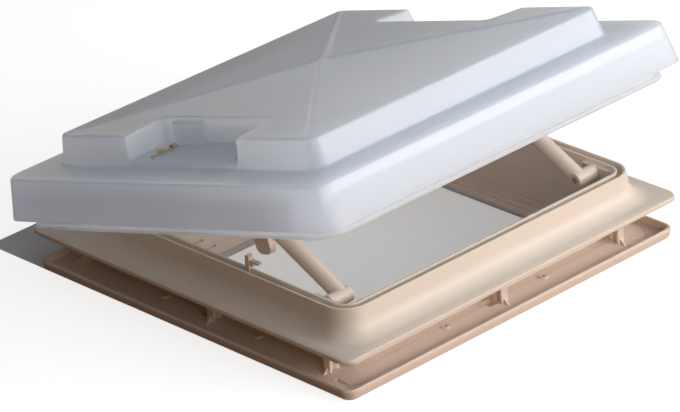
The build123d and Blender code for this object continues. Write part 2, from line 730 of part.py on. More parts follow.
def make_outer_dome():
    body = dome_mass(0)
    for rib in hip_ridges():
        body += rib
    inside = dome_mass(SHELL)
    for side in (-1, 1):
        body -= recess_cut(side, 0)
        body += recess_block(side, 0)
        inside -= recess_cut(side, SHELL)
        inside += recess_block(side, SHELL) & dome_mass(SHELL)
        for y in BOLT_Y:
            body += recess_pad(side * clip_centre(), y)
    body -= inside
    for x, y in bolt_places():
        body -= rod_z(BOLT_R + SEAT, x, y, (RECESS_Z - 2 * SHELL, RECESS_Z + 2 * PAD_H))
    return body


def lid_cavity():
    """The room under the inner dome, between its walls and up to its ceiling."""
    return squares(dome_wall(LIP_Z, INNER_T), dome_wall(CEILING_Z, INNER_T))


def seal_rib():
    """Rib under the inner dome's ceiling that enters the frame's groove."""
    half = SEAL_RIB - SEAL_RIB_T
    rib = squares((SEAL_RIB, corner(SEAL_RIB), SEAL_RIB_Z), (SEAL_RIB, corner(SEAL_RIB), CEILING_Z))
    return rib - squares((half, corner(half), SEAL_RIB_Z), (half, corner(half), CEILING_Z))


def make_inner_dome():
    shelf = CEILING_Z + INNER_T
    body = squares(dome_wall(LIP_Z), dome_wall(shelf))
    edge = lid_corner(LIP)
    body += squares(
        (LIP - LIP_CHAMFER, edge - LIP_CHAMFER, LIP_Z),
        (LIP, edge, LIP_Z + LIP_CHAMFER),
        (LIP, edge, LIP_Z + LIP_T),
    )
    join = squares((SKIRT, SKIRT_CORNER, JOIN_Z), (SKIRT, SKIRT_CORNER, JOIN_Z + INNER_T))
    body += join & dome_mass(SHELL)
    body += squares(
        (FIELD + INNER_T, FIELD_CORNER + 2.0, shelf),
        (FIELD - FIELD_DRAFT + INNER_T, FIELD_TOP_CORNER + 2.0, FIELD_Z + INNER_T),
    )
    body -= lid_cavity()
    body -= squares((FIELD, FIELD_CORNER, CEILING_Z), (FIELD - FIELD_DRAFT, FIELD_TOP_CORNER, FIELD_Z))
    body += seal_rib()
    for x, y in bolt_places():
        body -= rod_z(BOLT_R + SEAT, x, y, (CEILING_Z - EPS, shelf + EPS))
    for side in (-1, 1):
        for hole in leaf_screws(side, SEAT) + latch_screws(side, SEAT):
            body -= hole
    return body


def make_lid_seal():
    """Rubber profile pushed over the rib, with its lip below."""
    outer = (SEAL_OUT - EDGE, SEAL_OUT, SEAL_OUT)
    inner = (SEAL_IN + EDGE, SEAL_IN, SEAL_IN)
    heights = (SEAL_Z, SEAL_Z + EDGE, SEAL_Z + SEAL_H)
    seal = squares(*[(h, corner(h), z) for h, z in zip(outer, heights)])
    seal -= squares(*[(h, corner(h), z) for h, z in zip(inner, heights)])
    return seal - seal_rib()


# Hinge leaves and recess fastenings
def leaf_screws(side, play=0.0):
    z = (LEAF_Z0 + LEAF_Z1) / 2
    inner = dome_wall(z, INNER_T)[0] - LEAF_T
    screws = []
    for x in (LEAF_HOLE - LEAF_W / 2, LEAF_W / 2 - LEAF_HOLE):
        place = side * HINGE_X + x
        shank = rod_y(RIVET_R + play, place, (inner - EPS, INNER_WALL + LEAF_SCREW_END), z)
        screws.append(shank + rod_y(RIVET_HEAD_R + play, place, (inner - LEAF_HEAD_H, inner), z))
    return screws


def make_hinge_leaf(side):
    """Plate on the dome's rear wall with one knuckle below it."""
    x0 = side * HINGE_X
    room = lid_cavity() - squares(dome_wall(LIP_Z, INNER_T + LEAF_T), dome_wall(CEILING_Z, INNER_T + LEAF_T))
    plate = block((x0 - LEAF_W / 2, x0 + LEAF_W / 2), (FIELD, SKIRT), (LEAF_Z0, LEAF_Z1))
    knuckle = (x0 - KNUCKLE_W / 2, x0 + KNUCKLE_W / 2)
    tongue = hull_x(
        knuckle,
        (HINGE_Y, HINGE_LIFT, KNUCKLE_R),
        (HINGE_Y + KNUCKLE_R - TONGUE_R, LEAF_Z0 + LEAF_RISE, TONGUE_R),
    )
    leaf = (plate & room) + (tongue & lid_cavity())
    leaf -= rod_x(PIN_R + RUN, knuckle, HINGE_Y, HINGE_LIFT)
    for screw in leaf_screws(side, SEAT):
        leaf -= screw
    return leaf


def make_recess_clip(x, y):
    """Brass yoke: a strip with turned-up ends, held by one bolt."""
    side = 1 if x > 0 else -1
    z = RECESS_Z + PAD_H
    centre = side * clip_centre()
    strip = extrude(Pos(centre, y, z) * SlotOverall(CLIP_L, CLIP_W), amount=CLIP_T)
    place = Pos(centre + side * CLIP_ARCH, y, z + CLIP_T / 2) * Rot(90, 0, 0)
    arch = place * Cylinder(CLIP_ARCH_R, CLIP_ARCH_W)
    strip += arch & block((-SKIRT, SKIRT), (-SKIRT, SKIRT), (z, APEX_Z))
    return strip - rod_z(BOLT_R + SEAT, x, y, (z - EPS, z + 2 * CLIP_T))


def make_recess_bolt(x, y):
    z = RECESS_Z + PAD_H + CLIP_T
    bottom = CEILING_Z - STRIP_T - NUT_H - BOLT_END
    head = rod_z(BOLT_HEAD_R, x, y, (z, z + BOLT_HEAD_H))
    head = fillet(head.edges().sort_by(Axis.Z)[-1:], BOLT_HEAD_ROUND)
    return rod_z(BOLT_R, x, y, (bottom, z)) + head


def make_bolt_sleeve(x, y):
    ends = (CEILING_Z + INNER_T, RECESS_Z - SHELL)
    return rod_z(BOLT_SLEEVE_R, x, y, ends) - rod_z(BOLT_R + RUN, x, y, ends)


def make_bolt_nut(x, y):
    top = CEILING_Z - STRIP_T
    nut = extrude(Pos(x, y, top - NUT_H) * RegularPolygon(NUT_AF / 2, 6, major_radius=False), amount=NUT_H)
    return nut - rod_z(BOLT_R + SEAT, x, y, (top - NUT_H, top))


# Stays
def stay_axis(side):
    """Plane at the stay's foot with its Z along the open stay."""
    slope = stay_line(OPEN_ANGLE)[1]
    return Plane(origin=(side * STAY_X, FOOT_Y, FOOT_Z), x_dir=(1, 0, 0), z_dir=(0, cos(slope), sin(slope)))


def along(side, r, s0, s1):
    """Cylinder along the stay between two distances from its foot."""
    return stay_axis(side) * Pos(0, 0, (s0 + s1) / 2) * Cylinder(r, s1 - s0)


def make_stay_tube(side):
    body = rod_x(BARREL_R, (side * BARREL_X[0], side * BARREL_X[1]), FOOT_Y, FOOT_Z)
    body = fillet(body.edges().filter_by(GeomType.CIRCLE), BARREL_ROUND)
    body += along(side, TUBE_R, 0, TUBE_L)
    body -= along(side, TUBE_BORE, TUBE_FLOOR, TUBE_L)
    body -= rod_x(FOOT_PIN_R + RUN, (side * BARREL_X[0], side * BARREL_X[1]), FOOT_Y, FOOT_Z)
    return body


def make_stay_bush(side):
    body = along(side, TUBE_BORE - SEAT, TUBE_L - BUSH_L, TUBE_L)
    body += along(side, BUSH_FLANGE_R, TUBE_L, TUBE_L + BUSH_FLANGE)
    return body - along(side, ROD_R + RUN, TUBE_L - BUSH_L, TUBE_L + BUSH_FLANGE)


def make_stay_lock(side):
    """Locking ring with grip flutes, over the tube's mouth and the bush."""
    end = TUBE_L + BUSH_FLANGE
    start = end + LOCK_WALL - LOCK_L
    body = along(side, LOCK_R, start, end + LOCK_WALL)
    body -= along(side, TUBE_R + SEAT, start, end)
    body -= along(side, ROD_R + LOCK_PLAY, end, end + LOCK_WALL)
    plane = stay_axis(side)
    for i in range(LOCK_RIBS):
        turn = Rot(0, 0, 360 * i / LOCK_RIBS)
        flute = Cylinder(FLUTE_R, end - start - 2 * FLUTE_END)
        body -= plane * turn * Pos(LOCK_R + FLUTE_OUT, 0, (start + end) / 2) * flute
    return body


def make_stay_rod(side):
    length = stay_line(OPEN_ANGLE)[0]
    body = along(side, ROD_R, ROD_TAIL, length)
    eye_y, eye_z = lid_point(EYE_Y, EYE_Z, OPEN_ANGLE)
    x = (side * STAY_X - EYE_W / 2, side * STAY_X + EYE_W / 2)
    body += rod_x(EYE_R, x, eye_y, eye_z)
    return body - rod_x(EYE_PIN_R + SEAT, x, eye_y, eye_z)


def make_stay_pin(side):
    eye_y, eye_z = lid_point(EYE_Y, EYE_Z, OPEN_ANGLE)
    reach = EYE_W / 2 + SIDE_PLAY + LUG_T + 0.3
    body = rod_x(EYE_PIN_R, (side * STAY_X - reach, side * STAY_X + reach), eye_y, eye_z)
    for end in (-1, 1):
        x0 = side * STAY_X + end * reach
        body += rod_x(EYE_PIN_R + PIN_RIM, (x0, x0 + end * PIN_HEAD), eye_y, eye_z)
    return body


def make_stay_bracket(side):
    """Strip under the lid with two slotted ears for the stay's pin."""
    z = (CEILING_Z - STRIP_T, CEILING_Z)
    body = block((side * STRIP_X[0], side * STRIP_X[1]), STRIP_Y, z)
    body = fillet(body.edges().filter_by(Axis.Z), STRIP_CORNER)
    ys, zs = slot_travel()
    y_mid = (ys[0] + ys[1]) / 2
    z_mid = (zs[0] + zs[1]) / 2
    inner = EYE_W / 2 + SIDE_PLAY
    for x0 in (side * STAY_X - inner - LUG_T, side * STAY_X + inner):
        x = (x0, x0 + LUG_T)
        body += hull_x(
            x,
            (ys[0], z_mid, LUG_R),
            (ys[1], z_mid, LUG_R),
            (ys[0] - LUG_ROOT, z[0] + 1.0, 1.0),
            (ys[1] + LUG_ROOT, z[0] + 1.0, 1.0),
        )
        half = (zs[1] - zs[0]) / 2
        body -= hull_x(
            (x[0] - 0.2, x[1] + 0.2),
            (ys[0], z_mid, EYE_PIN_R + half + SLOT_SIDE),
            (ys[1], z_mid, EYE_PIN_R + half + SLOT_SIDE),
        )
    for y in BOLT_Y:
        body -= rod_z(BOLT_R + SEAT, side * BOLT_X, y, z)
    return body


# Latches
def latch_screws(side, play=0.0):
    z = CEILING_Z - STRIP_T
    screws = []
    for y in MOUNT_SCREW_Y:
        x = side * MOUNT_SCREW_X
        shank = rod_z(RIVET_R + play, x, y, (z - EPS, CEILING_Z + INNER_T + 1.0))
        screws.append(shank + rod_z(RIVET_HEAD_R + play, x, y, (z - RIVET_HEAD_H, z)))
    return screws


def make_latch_mount(side):
    """Angle under the ceiling with one ear that carries the handle's pin."""
    ear = (LATCH_X - MOUNT_GAP - MOUNT_T, LATCH_X - MOUNT_GAP)
    body = block((ear[0], MOUNT_X), MOUNT_Y, (CEILING_Z - STRIP_T, CEILING_Z))
    body += hull_x(
        ear,
        (LATCH_Y, LATCH_Z, MOUNT_EAR_R),
        (MOUNT_Y[0] + MOUNT_ROOT_R, CEILING_Z - STRIP_T, MOUNT_ROOT_R),
        (MOUNT_Y[1] - MOUNT_ROOT_R, CEILING_Z - STRIP_T, MOUNT_ROOT_R),
    )
    body -= rod_x(LATCH_PIN_R + SEAT, ear, LATCH_Y, LATCH_Z)
    if side < 0:
        body = mirrored(body)
    for screw in latch_screws(side, SEAT):
        body -= screw
    return body


def latch_face():
    """Outer face of the handle above the roof, where it clears the bore when it turns."""
    return BORE_ROOF - LATCH_WALL_PLAY


def make_latch_pin(side):
    ear = LATCH_X - MOUNT_GAP - MOUNT_T
    body = rod_x(LATCH_PIN_R, (ear, latch_face()), LATCH_Y, LATCH_Z)
    cap = (latch_face(), latch_face() + PIN_HEAD_T)
    body += rod_x(LATCH_PIN_R + PIN_HEAD_RIM, cap, LATCH_Y, LATCH_Z)
    return mirrored(body) if side < 0 else body


def make_latch_handle(side):
    """Grip that hangs beside the frame's bore, with a hook and a finger above its pivot."""
    shift = HINGE_Z - HINGE_LIFT
    grip_y = (LATCH_Y - HANDLE_BACK, LATCH_Y - HANDLE_BACK + HANDLE_W)
    end_z = HANDLE_END_Z + 1.0
    body = hull_x(
        (LATCH_X, FINGER_X),
        (LATCH_Y, LATCH_Z, HANDLE_HUB_R),
        (grip_y[1] - HANDLE_NECK_R, LATCH_Z - HANDLE_NECK, HANDLE_NECK_R),
        (grip_y[0] + HANDLE_END_R, end_z, HANDLE_END_R),
        (grip_y[1] - HANDLE_END_R, end_z, HANDLE_END_R),
    )
    low = HANDLE_END_Z - 10.0
    body &= squares(
        (bore_half(low + shift) - LATCH_WALL_PLAY, HANDLE_CORNER, low),
        (latch_face(), HANDLE_CORNER, -shift),
        (latch_face(), HANDLE_CORNER, LATCH_Z + 2 * HANDLE_HUB_R),
    )
    tilt = radians(HOOK_TILT)
    top_y = LATCH_Y - HOOK_REACH * sin(tilt)
    top_z = LATCH_Z + HOOK_REACH * cos(tilt)
    hook = (LATCH_X + 3.0, BORE_TOP - 3.5)
    body += hull_x(hook, (LATCH_Y, LATCH_Z, HOOK_W / 2 + 1.0), (top_y, top_z - 1.2, HOOK_W / 2 - 0.3))
    body += rod_x(FINGER_R, (hook[0], FINGER_X), top_y, top_z)
    pitch = (HANDLE_W - 6.0) / HANDLE_RIBS
    for i in range(HANDLE_RIBS):
        z0 = HANDLE_END_Z + 2.0 + i * pitch * HANDLE_RIB_SPREAD
        body -= rod_x(HANDLE_RIB_R, (LATCH_X - EPS, FINGER_X), grip_y[0], z0)
    body -= rod_x(LATCH_PIN_R + RUN, (LATCH_X - EPS, latch_face() + EPS), LATCH_Y, LATCH_Z)
    body -= rod_x(LATCH_PIN_R + PIN_HEAD_RIM + PIN_HEAD_PLAY, (latch_face(), FINGER_X), LATCH_Y, LATCH_Z)
    return mirrored(body) if side < 0 else body


SIDES = (("left", -1), ("right", 1))


def build_nodes():
    frame = make_roof_frame()
    nodes = {
        "roof_frame": frame,
        "ceiling_trim": make_ceiling_trim(),
        "clamp_claws": make_clamps(),
        "clamp_screws": make_clamp_screws(),
        "screen_frame": make_screen_frame(),
        "fly_net": make_fly_net(),
        "outer_dome": LID * make_outer_dome(),
        "inner_dome": LID * make_inner_dome(),
        "lid_seal": LID * make_lid_seal(),
        "recess_clips": LID * group(make_recess_clip(x, y) for x, y in bolt_places()),
        "recess_bolts": LID * group(make_recess_bolt(x, y) for x, y in bolt_places()),
        "bolt_sleeves": LID * group(make_bolt_sleeve(x, y) for x, y in bolt_places()),
        "bolt_nuts": LID * group(make_bolt_nut(x, y) for x, y in bolt_places()),
        "leaf_screws": LID * group(leaf_screws(-1) + leaf_screws(1)),
        "latch_screws": LID * group(latch_screws(-1) + latch_screws(1)),
        "foot_rivets": group(foot_rivets(-1) + foot_rivets(1)),
    }
    for name, side in SIDES:
        catch = make_catch(frame)
        nodes["hinge_pin_" + name] = make_hinge_pin(side)
        nodes["catch_" + name] = mirrored(catch) if side < 0 else catch
        nodes["stay_foot_" + name] = make_stay_foot(side)
        nodes["foot_pin_" + name] = make_foot_pin(side)
        nodes["hinge_leaf_" + name] = LID * make_hinge_leaf(side)
        nodes["stay_bracket_" + name] = LID * make_stay_bracket(side)
        nodes["latch_mount_" + name] = LID * make_latch_mount(side)
        nodes["latch_pin_" + name] = LID * make_latch_pin(side)
        nodes["latch_handle_" + name] = LID * make_latch_handle(side)
        nodes["stay_tube_" + name] = make_stay_tube(side)
        nodes["stay_bush_" + name] = make_stay_bush(side)
        nodes["stay_lock_" + name] = make_stay_lock(side)
        nodes["stay_rod_" + name] = make_stay_rod(side)
        nodes["stay_pin_" + name] = make_stay_pin(side)
    return nodes


def main():
    os.makedirs("parts", exist_ok=True)
    for name, shape in build_nodes().items():
        export_step(shape, "parts/" + name + ".step")
    shut = stay_line(0)
    wide = stay_line(OPEN_ANGLE)
    print("stay", shut[0], degrees(shut[1]), wide[0], degrees(wide[1]))
    print("slot", slot_travel())


main()
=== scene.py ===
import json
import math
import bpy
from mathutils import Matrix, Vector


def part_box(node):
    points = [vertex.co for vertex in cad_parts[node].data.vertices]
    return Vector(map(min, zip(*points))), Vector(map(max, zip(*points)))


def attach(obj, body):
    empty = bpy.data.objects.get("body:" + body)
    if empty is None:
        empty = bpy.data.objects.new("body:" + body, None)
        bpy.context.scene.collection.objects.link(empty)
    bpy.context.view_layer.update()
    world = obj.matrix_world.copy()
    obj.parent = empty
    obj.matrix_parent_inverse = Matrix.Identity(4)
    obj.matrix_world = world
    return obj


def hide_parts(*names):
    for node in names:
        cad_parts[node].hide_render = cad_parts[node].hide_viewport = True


bl_info = {
    "name": "Caravan Roof Hatch",
    "version": (1, 0, 0),
    "blender": (4, 5, 0),
    "location": "View3D > Sidebar > Roof Hatch",
    "description": "Dresses the roof hatch: moulded frame, opal lid shells, fly net, stays and fastenings",
    "category": "Add Mesh",
}

import bpy
import numpy as np
from mathutils import Matrix, Vector

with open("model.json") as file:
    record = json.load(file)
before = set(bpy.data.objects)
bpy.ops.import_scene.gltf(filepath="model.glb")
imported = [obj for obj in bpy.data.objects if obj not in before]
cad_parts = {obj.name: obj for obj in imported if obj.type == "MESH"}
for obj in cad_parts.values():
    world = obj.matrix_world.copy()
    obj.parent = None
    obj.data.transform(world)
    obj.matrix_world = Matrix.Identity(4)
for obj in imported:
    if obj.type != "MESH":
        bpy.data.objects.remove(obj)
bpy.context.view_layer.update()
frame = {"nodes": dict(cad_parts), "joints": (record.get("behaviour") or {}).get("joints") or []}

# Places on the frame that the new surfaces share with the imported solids, in metres.
HINGE_Y = 0.236
HINGE_Z = 0.0288
HINGE_LIFT = 0.00557


def open_angle():
    """Angle by which the lid is raised at rest, from the lid hinge's range."""
    hinge = next(joint for joint in frame["joints"] if joint["name"] == "lid_hinge")
    return math.radians(abs(min(hinge["range_deg"])))


class HatchSizes(bpy.types.PropertyGroup):
    """Sizes of the moulded shells, as half widths and heights"""

    flange: bpy.props.FloatProperty(
        name="Flange", description="Half width of the flange on the roof", default=0.2475, unit="LENGTH"
    )
    flange_lip: bpy.props.FloatProperty(
        name="Flange edge", description="Height of the flange's edge", default=0.0052, unit="LENGTH"
    )
    flare_foot: bpy.props.FloatProperty(
        name="Flare foot", description="Half width where the flare leaves the flange", default=0.2375, unit="LENGTH"
    )
    flare_radius: bpy.props.FloatProperty(
        name="Flare radius", description="Radius of the flare between flange and upstand", default=0.020, unit="LENGTH"
    )
    upstand: bpy.props.FloatProperty(
        name="Upstand", description="Half width of the upstand at its rim", default=0.2156, unit="LENGTH"
    )
    rim_height: bpy.props.FloatProperty(
        name="Rim height", description="Height of the rim above the roof", default=0.0374, unit="LENGTH"
    )
    skirt: bpy.props.FloatProperty(
        name="Skirt", description="Half width of the outer dome at its bottom edge", default=0.266, unit="LENGTH"
    )
    ledge: bpy.props.FloatProperty(
        name="Ledge", description="Half width of the outer dome's ledge", default=0.260, unit="LENGTH"
    )
    ledge_height: bpy.props.FloatProperty(
        name="Ledge height", description="Height of the ledge above the skirt's edge", default=0.045, unit="LENGTH"
    )
    tier: bpy.props.FloatProperty(
        name="Upper tier", description="Half width of the upper tier at the ledge", default=0.216, unit="LENGTH"
    )
    tier_top: bpy.props.FloatProperty(
        name="Tier top", description="Half width of the upper tier at its top edge", default=0.2093, unit="LENGTH"
    )
    tier_height: bpy.props.FloatProperty(
        name="Tier height", description="Height of the tier's top edge", default=0.0775, unit="LENGTH"
    )
    apex_height: bpy.props.FloatProperty(
        name="Apex height", description="Height of the dome's middle", default=0.0915, unit="LENGTH"
    )
    ridge_rise: bpy.props.FloatProperty(
        name="Ridge rise", description="How far the hip ridges stand up", default=0.0017, unit="LENGTH"
    )
    ridge_width: bpy.props.FloatProperty(
        name="Ridge width", description="Half width of the hip ridges", default=0.0062, unit="LENGTH"
    )
    recess_floor: bpy.props.FloatProperty(
        name="Recess floor", description="Height of the side recesses' floor", default=0.051, unit="LENGTH"
    )
    raised_by: bpy.props.FloatProperty(
        name="Lid raised by", description="Opening angle of the lid", default=open_angle(), subtype="ANGLE"
    )


class HatchColours(bpy.types.PropertyGroup):
    """Colours of the finishes, as linear values"""

    opal: bpy.props.FloatVectorProperty(
        name="Opal dome", description="Outer dome", default=(0.78, 0.815, 0.87), subtype="COLOR", min=0, max=1
    )
    opal_inner: bpy.props.FloatVectorProperty(
        name="Inner dome", description="Inner dome", default=(0.77, 0.795, 0.83), subtype="COLOR", min=0, max=1
    )
    beige: bpy.props.FloatVectorProperty(
        name="Frame beige", description="Roof frame", default=(0.87, 0.75, 0.64), subtype="COLOR", min=0, max=1
    )
    beige_trim: bpy.props.FloatVectorProperty(
        name="Trim beige", description="Ceiling trim", default=(0.87, 0.73, 0.63), subtype="COLOR", min=0, max=1
    )
    beige_stay: bpy.props.FloatVectorProperty(
        name="Stay beige", description="Stays and latches", default=(0.87, 0.73, 0.63), subtype="COLOR", min=0, max=1
    )
    net: bpy.props.FloatVectorProperty(
        name="Net", description="Fly net thread", default=(0.66, 0.65, 0.63), subtype="COLOR", min=0, max=1
    )
    rubber: bpy.props.FloatVectorProperty(
        name="Seal", description="Lid seal", default=(0.035, 0.034, 0.033), subtype="COLOR", min=0, max=1
    )
    brass: bpy.props.FloatVectorProperty(
        name="Brass", description="Recess clips", default=(0.78, 0.60, 0.34), subtype="COLOR", min=0, max=1
    )
    zinc: bpy.props.FloatVectorProperty(
        name="Zinc", description="Screws and pins", default=(0.66, 0.66, 0.67), subtype="COLOR", min=0, max=1
    )
    floor: bpy.props.FloatVectorProperty(
        name="Floor", description="Studio floor", default=(0.92, 0.92, 0.91), subtype="COLOR", min=0, max=1
    )


class HatchStudio(bpy.types.PropertyGroup):
    """Camera and lamps"""

    lens: bpy.props.FloatProperty(name="Lens", description="Focal length in millimetres", default=240.62, unit="CAMERA")
    azimuth: bpy.props.FloatProperty(
        name="Azimuth", description="Turn of the view from the front", default=math.radians(-41.9), subtype="ANGLE"
    )
    elevation: bpy.props.FloatProperty(
        name="Elevation", description="Height angle of the view", default=math.radians(25.8), subtype="ANGLE"
    )
    roll: bpy.props.FloatProperty(
        name="Roll", description="Tilt of the camera", default=math.radians(-4.3), subtype="ANGLE"
    )
    distance: bpy.props.FloatProperty(
        name="Distance", description="Camera distance along its view", default=4.8702, unit="LENGTH"
    )
    slide: bpy.props.FloatVectorProperty(
        name="Slide", description="Camera offset to the right and up", default=(-0.0137, 0.0106), size=2
    )
    key: bpy.props.FloatProperty(
        name="Key lamp", description="Power of the window-like lamp in watts", default=26.0
    )
    front: bpy.props.FloatProperty(
        name="Front lamp", description="Power of the lamp beside the camera in watts", default=16.0
    )
    high: bpy.props.FloatProperty(
        name="High lamp", description="Power of the bluish lamp above the key in watts", default=3.0
    )
    back: bpy.props.FloatProperty(
        name="Back lamp", description="Power of the low lamp behind the hatch in watts", default=2.5
    )
    fill: bpy.props.FloatProperty(name="Sky fill", description="Strength of the soft light from above", default=0.17)
    floor_z: bpy.props.FloatProperty(
        name="Floor height", description="Just below the trim's face", default=-0.0444, unit="LENGTH"
    )


# Shapes: profiles, loops and surfaces as whole arrays.


def soften(corners, radii, steps=5, guard=0.6):
    """Profile with rounded corners.

    Each corner of the polygon becomes an arc of its radius that touches both of its sides, in
    equal steps of angle. A guard point on each side, a share of the radius before the arc, keeps
    the shading of the flat beside it flat. Corners and radii are arrays of the same length, and
    a radius of zero keeps the corner. Ends stay as they are if the profile is open.
    """
    points = np.asarray(corners, float)
    rounded = []
    count = len(points)
    for i in range(count):
        here = points[i]
        radius = radii[i]
        if radius <= 0:
            rounded.append(here[None])
            continue
        before = points[i - 1] - here
        after = points[(i + 1) % count] - here
        reach_in = np.linalg.norm(before)
        reach_out = np.linalg.norm(after)
        u = before / reach_in
        v = after / reach_out
        half = math.acos(max(-1.0, min(1.0, float(u @ v)))) / 2
        cut = min(radius / math.tan(half), 0.46 * reach_in, 0.46 * reach_out)
        radius = cut * math.tan(half)
        middle = here + (u + v) / np.linalg.norm(u + v) * radius / math.sin(half)
        start = here + u * cut - middle
        end = here + v * cut - middle
        turn = math.pi - 2 * half
        share = np.linspace(0, 1, steps + 1)[:, None]
        arc = (np.sin((1 - share) * turn) * start + np.sin(share * turn) * end) / math.sin(turn)
        lead = min(cut * (1 + guard), 0.49 * reach_in)
        trail = min(cut * (1 + guard), 0.49 * reach_out)
        rounded.append(np.vstack([here + u * lead, middle + arc, here + v * trail]))
    return np.vstack(rounded)


def side_stations(count=7, edge=0.985):
    """Places along a straight side, from -1 to 1, with a close pair at both ends."""
    return np.concatenate([[-1.0], np.linspace(-edge, edge, count), [1.0]])


def square_rings(profile, corner_radii, stations=None, turns=9):
    """Rounded squares, one for each profile point.

    A profile point gives a half width and a height. Its ring runs anticlockwise round a square
    of that half width whose corners are arcs of the given radius: along each side at the given
    stations and round each corner in equal steps of angle. Result: rings x points x 3.
    """
    half = np.asarray(profile)[:, 0][:, None]
    height = np.asarray(profile)[:, 1][:, None]
    radius = np.minimum(np.asarray(corner_radii, float)[:, None], half)
    along = side_stations() if stations is None else stations
    angle = (np.arange(1, turns) / turns * math.pi / 2)[None]
    straight = half - radius
    x = np.hstack([half + 0 * along[None], straight + radius * np.cos(angle)])
    y = np.hstack([straight * along[None], straight + radius * np.sin(angle)])
    xs = np.hstack([x, -y, -x, y])
    ys = np.hstack([y, x, -y, -x])
    return np.stack([xs, ys, height + 0 * xs], axis=-1)


def grid_faces(rows, columns, wrap_rows=False, wrap_columns=True):
    """Quads between the rows and columns of a grid of points, with optional wrapping."""
    r = np.arange(rows if wrap_rows else rows - 1)
    c = np.arange(columns if wrap_columns else columns - 1)
    row, column = np.meshgrid(r, c, indexing="ij")
    row_next = (row + 1) % rows
    column_next = (column + 1) % columns
    quads = np.stack(
        [
            row * columns + column,
            row * columns + column_next,
            row_next * columns + column_next,
            row_next * columns + column,
        ],
        axis=-1,
    )
    return quads.reshape(-1, 4)


def raised(points, angle):
    """Points of the closed lid turned open about the hinge line."""
    dy = points[..., 1] - HINGE_Y
    dz = points[..., 2] - HINGE_LIFT
    y = HINGE_Y + dy * math.cos(angle) + dz * math.sin(angle)
    z = HINGE_Z - dy * math.sin(angle) + dz * math.cos(angle)
    return np.stack([points[..., 0], y, z], axis=-1)


def build(name, points, faces, body, material, replaces=(), sharp=None):
    """Mesh object at the origin from arrays of points and faces, riding on a body."""
    mesh = bpy.data.meshes.new(name)
    polygons = []
    for part in faces if isinstance(faces, list) else [faces]:
        polygons += np.asarray(part).tolist()
    mesh.from_pydata(np.asarray(points).reshape(-1, 3).tolist(), [], polygons)
    mesh.validate()
    mesh.shade_smooth()
    if sharp is not None:
        mesh.set_sharp_from_angle(angle=math.radians(sharp))
    mesh.materials.append(material)
    piece = bpy.data.objects.new(name, mesh)
    bpy.context.scene.collection.objects.link(piece)
    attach(piece, body)
    if replaces:
        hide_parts(*replaces)
    return piece


def ring_solid(rings):
    """Points and faces of a closed band of rings."""
    rows, columns = rings.shape[:2]
    return rings.reshape(-1, 3), grid_faces(rows, columns, wrap_rows=True)


def joined(parts):
    """One set of points and faces from several."""
    points = []
    faces = []
    start = 0
    for part_points, part_faces in parts:
        flat = np.asarray(part_points).reshape(-1, 3)
        points.append(flat)
        for group in part_faces if isinstance(part_faces, list) else [part_faces]:
            faces.append(np.asarray(group) + start)
        start += len(flat)
    return np.vstack(points), faces


def capped(rings):
    """Points and faces of an open stack of rings with a flat face over each end."""
    rows, columns = rings.shape[:2]
    points = rings.reshape(-1, 3)
    ends = np.array([np.arange(columns)[::-1], (rows - 1) * columns + np.arange(columns)])
    return points, [grid_faces(rows, columns), ends]


def turned(profile, origin, axis, sides=32, phase=0.0):
    """Surface of revolution.

    The profile gives distance along the axis and radius. Each of its points is carried round
    the axis in equal steps of angle, and the ends are closed with flat faces.
    """
    profile = np.asarray(profile, float)
    direction = np.asarray(axis, float) / np.linalg.norm(axis)
    helper = np.array([0.0, 0.0, 1.0]) if abs(direction[2]) < 0.9 else np.array([1.0, 0.0, 0.0])
    u = np.cross(direction, helper)
    u /= np.linalg.norm(u)
    v = np.cross(direction, u)
    angle = phase + np.arange(sides) / sides * 2 * math.pi
    circle = np.cos(angle)[:, None] * u + np.sin(angle)[:, None] * v
    rings = (
        np.asarray(origin, float)
        + profile[:, 0][:, None, None] * direction
        + profile[:, 1][:, None, None] * circle[None]
    )
    return capped(rings)


def hull_plate(x0, x1, circles, edge=0.0006, directions=56):
    """Plate across X whose outline wraps circles given as (y, z, radius).

    For every direction the outline takes the circle that reaches furthest that way, and the
    point of it that faces that way. The two faces are set in by the edge radius, and quarter
    arcs of that radius join them to the rim.
    """
    data = np.asarray(circles, float)
    angle = np.arange(directions) / directions * 2 * math.pi
    facing = np.stack([np.cos(angle), np.sin(angle)], axis=-1)
    furthest = np.argmax(facing @ data[:, :2].T + data[:, 2][None], axis=1)
    centre = data[furthest][:, :2]
    radius = data[furthest][:, 2:3]
    steps = np.linspace(0, math.pi / 2, 4)
    inset = np.concatenate([edge * (1 - np.sin(steps)), edge * (1 - np.sin(steps[::-1]))])
    place = np.concatenate([x0 + edge * (1 - np.cos(steps)), x1 - edge * (1 - np.cos(steps[::-1]))])
    outline = centre[None] + facing[None] * np.maximum(radius[None] - inset[:, None, None], 1e-5)
    x = np.broadcast_to(place[:, None, None], outline.shape[:2] + (1,))
    return capped(np.concatenate([x, outline], axis=-1))


def sizes():
    return bpy.context.scene.hatch_sizes


def colours():
    return bpy.context.scene.hatch_colours


# Materials. Effects that several finishes share are node groups.


def new_group(name, inputs, outputs):
    """Empty node group with named sockets and its first and last node."""
    group = bpy.data.node_groups.new(name, "ShaderNodeTree")
    for label, kind, value in inputs:
        socket = group.interface.new_socket(name=label, in_out="INPUT", socket_type=kind)
        if value is not None:
            socket.default_value = value
    for label, kind in outputs:
        group.interface.new_socket(name=label, in_out="OUTPUT", socket_type=kind)
    first = group.nodes.new("NodeGroupInput")
    last = group.nodes.new("NodeGroupOutput")
    return group, first, last


def math_node(nodes, links, operation, a, b=None, clamp=False):
    node = nodes.new("ShaderNodeMath")
    node.operation = operation
    node.use_clamp = clamp
    for i, value in enumerate((a, b)):
        if value is None:
            continue
        if isinstance(value, (int, float)):
            node.inputs[i].default_value = value
        else:
            links.new(value, node.inputs[i])
    return node.outputs[0]


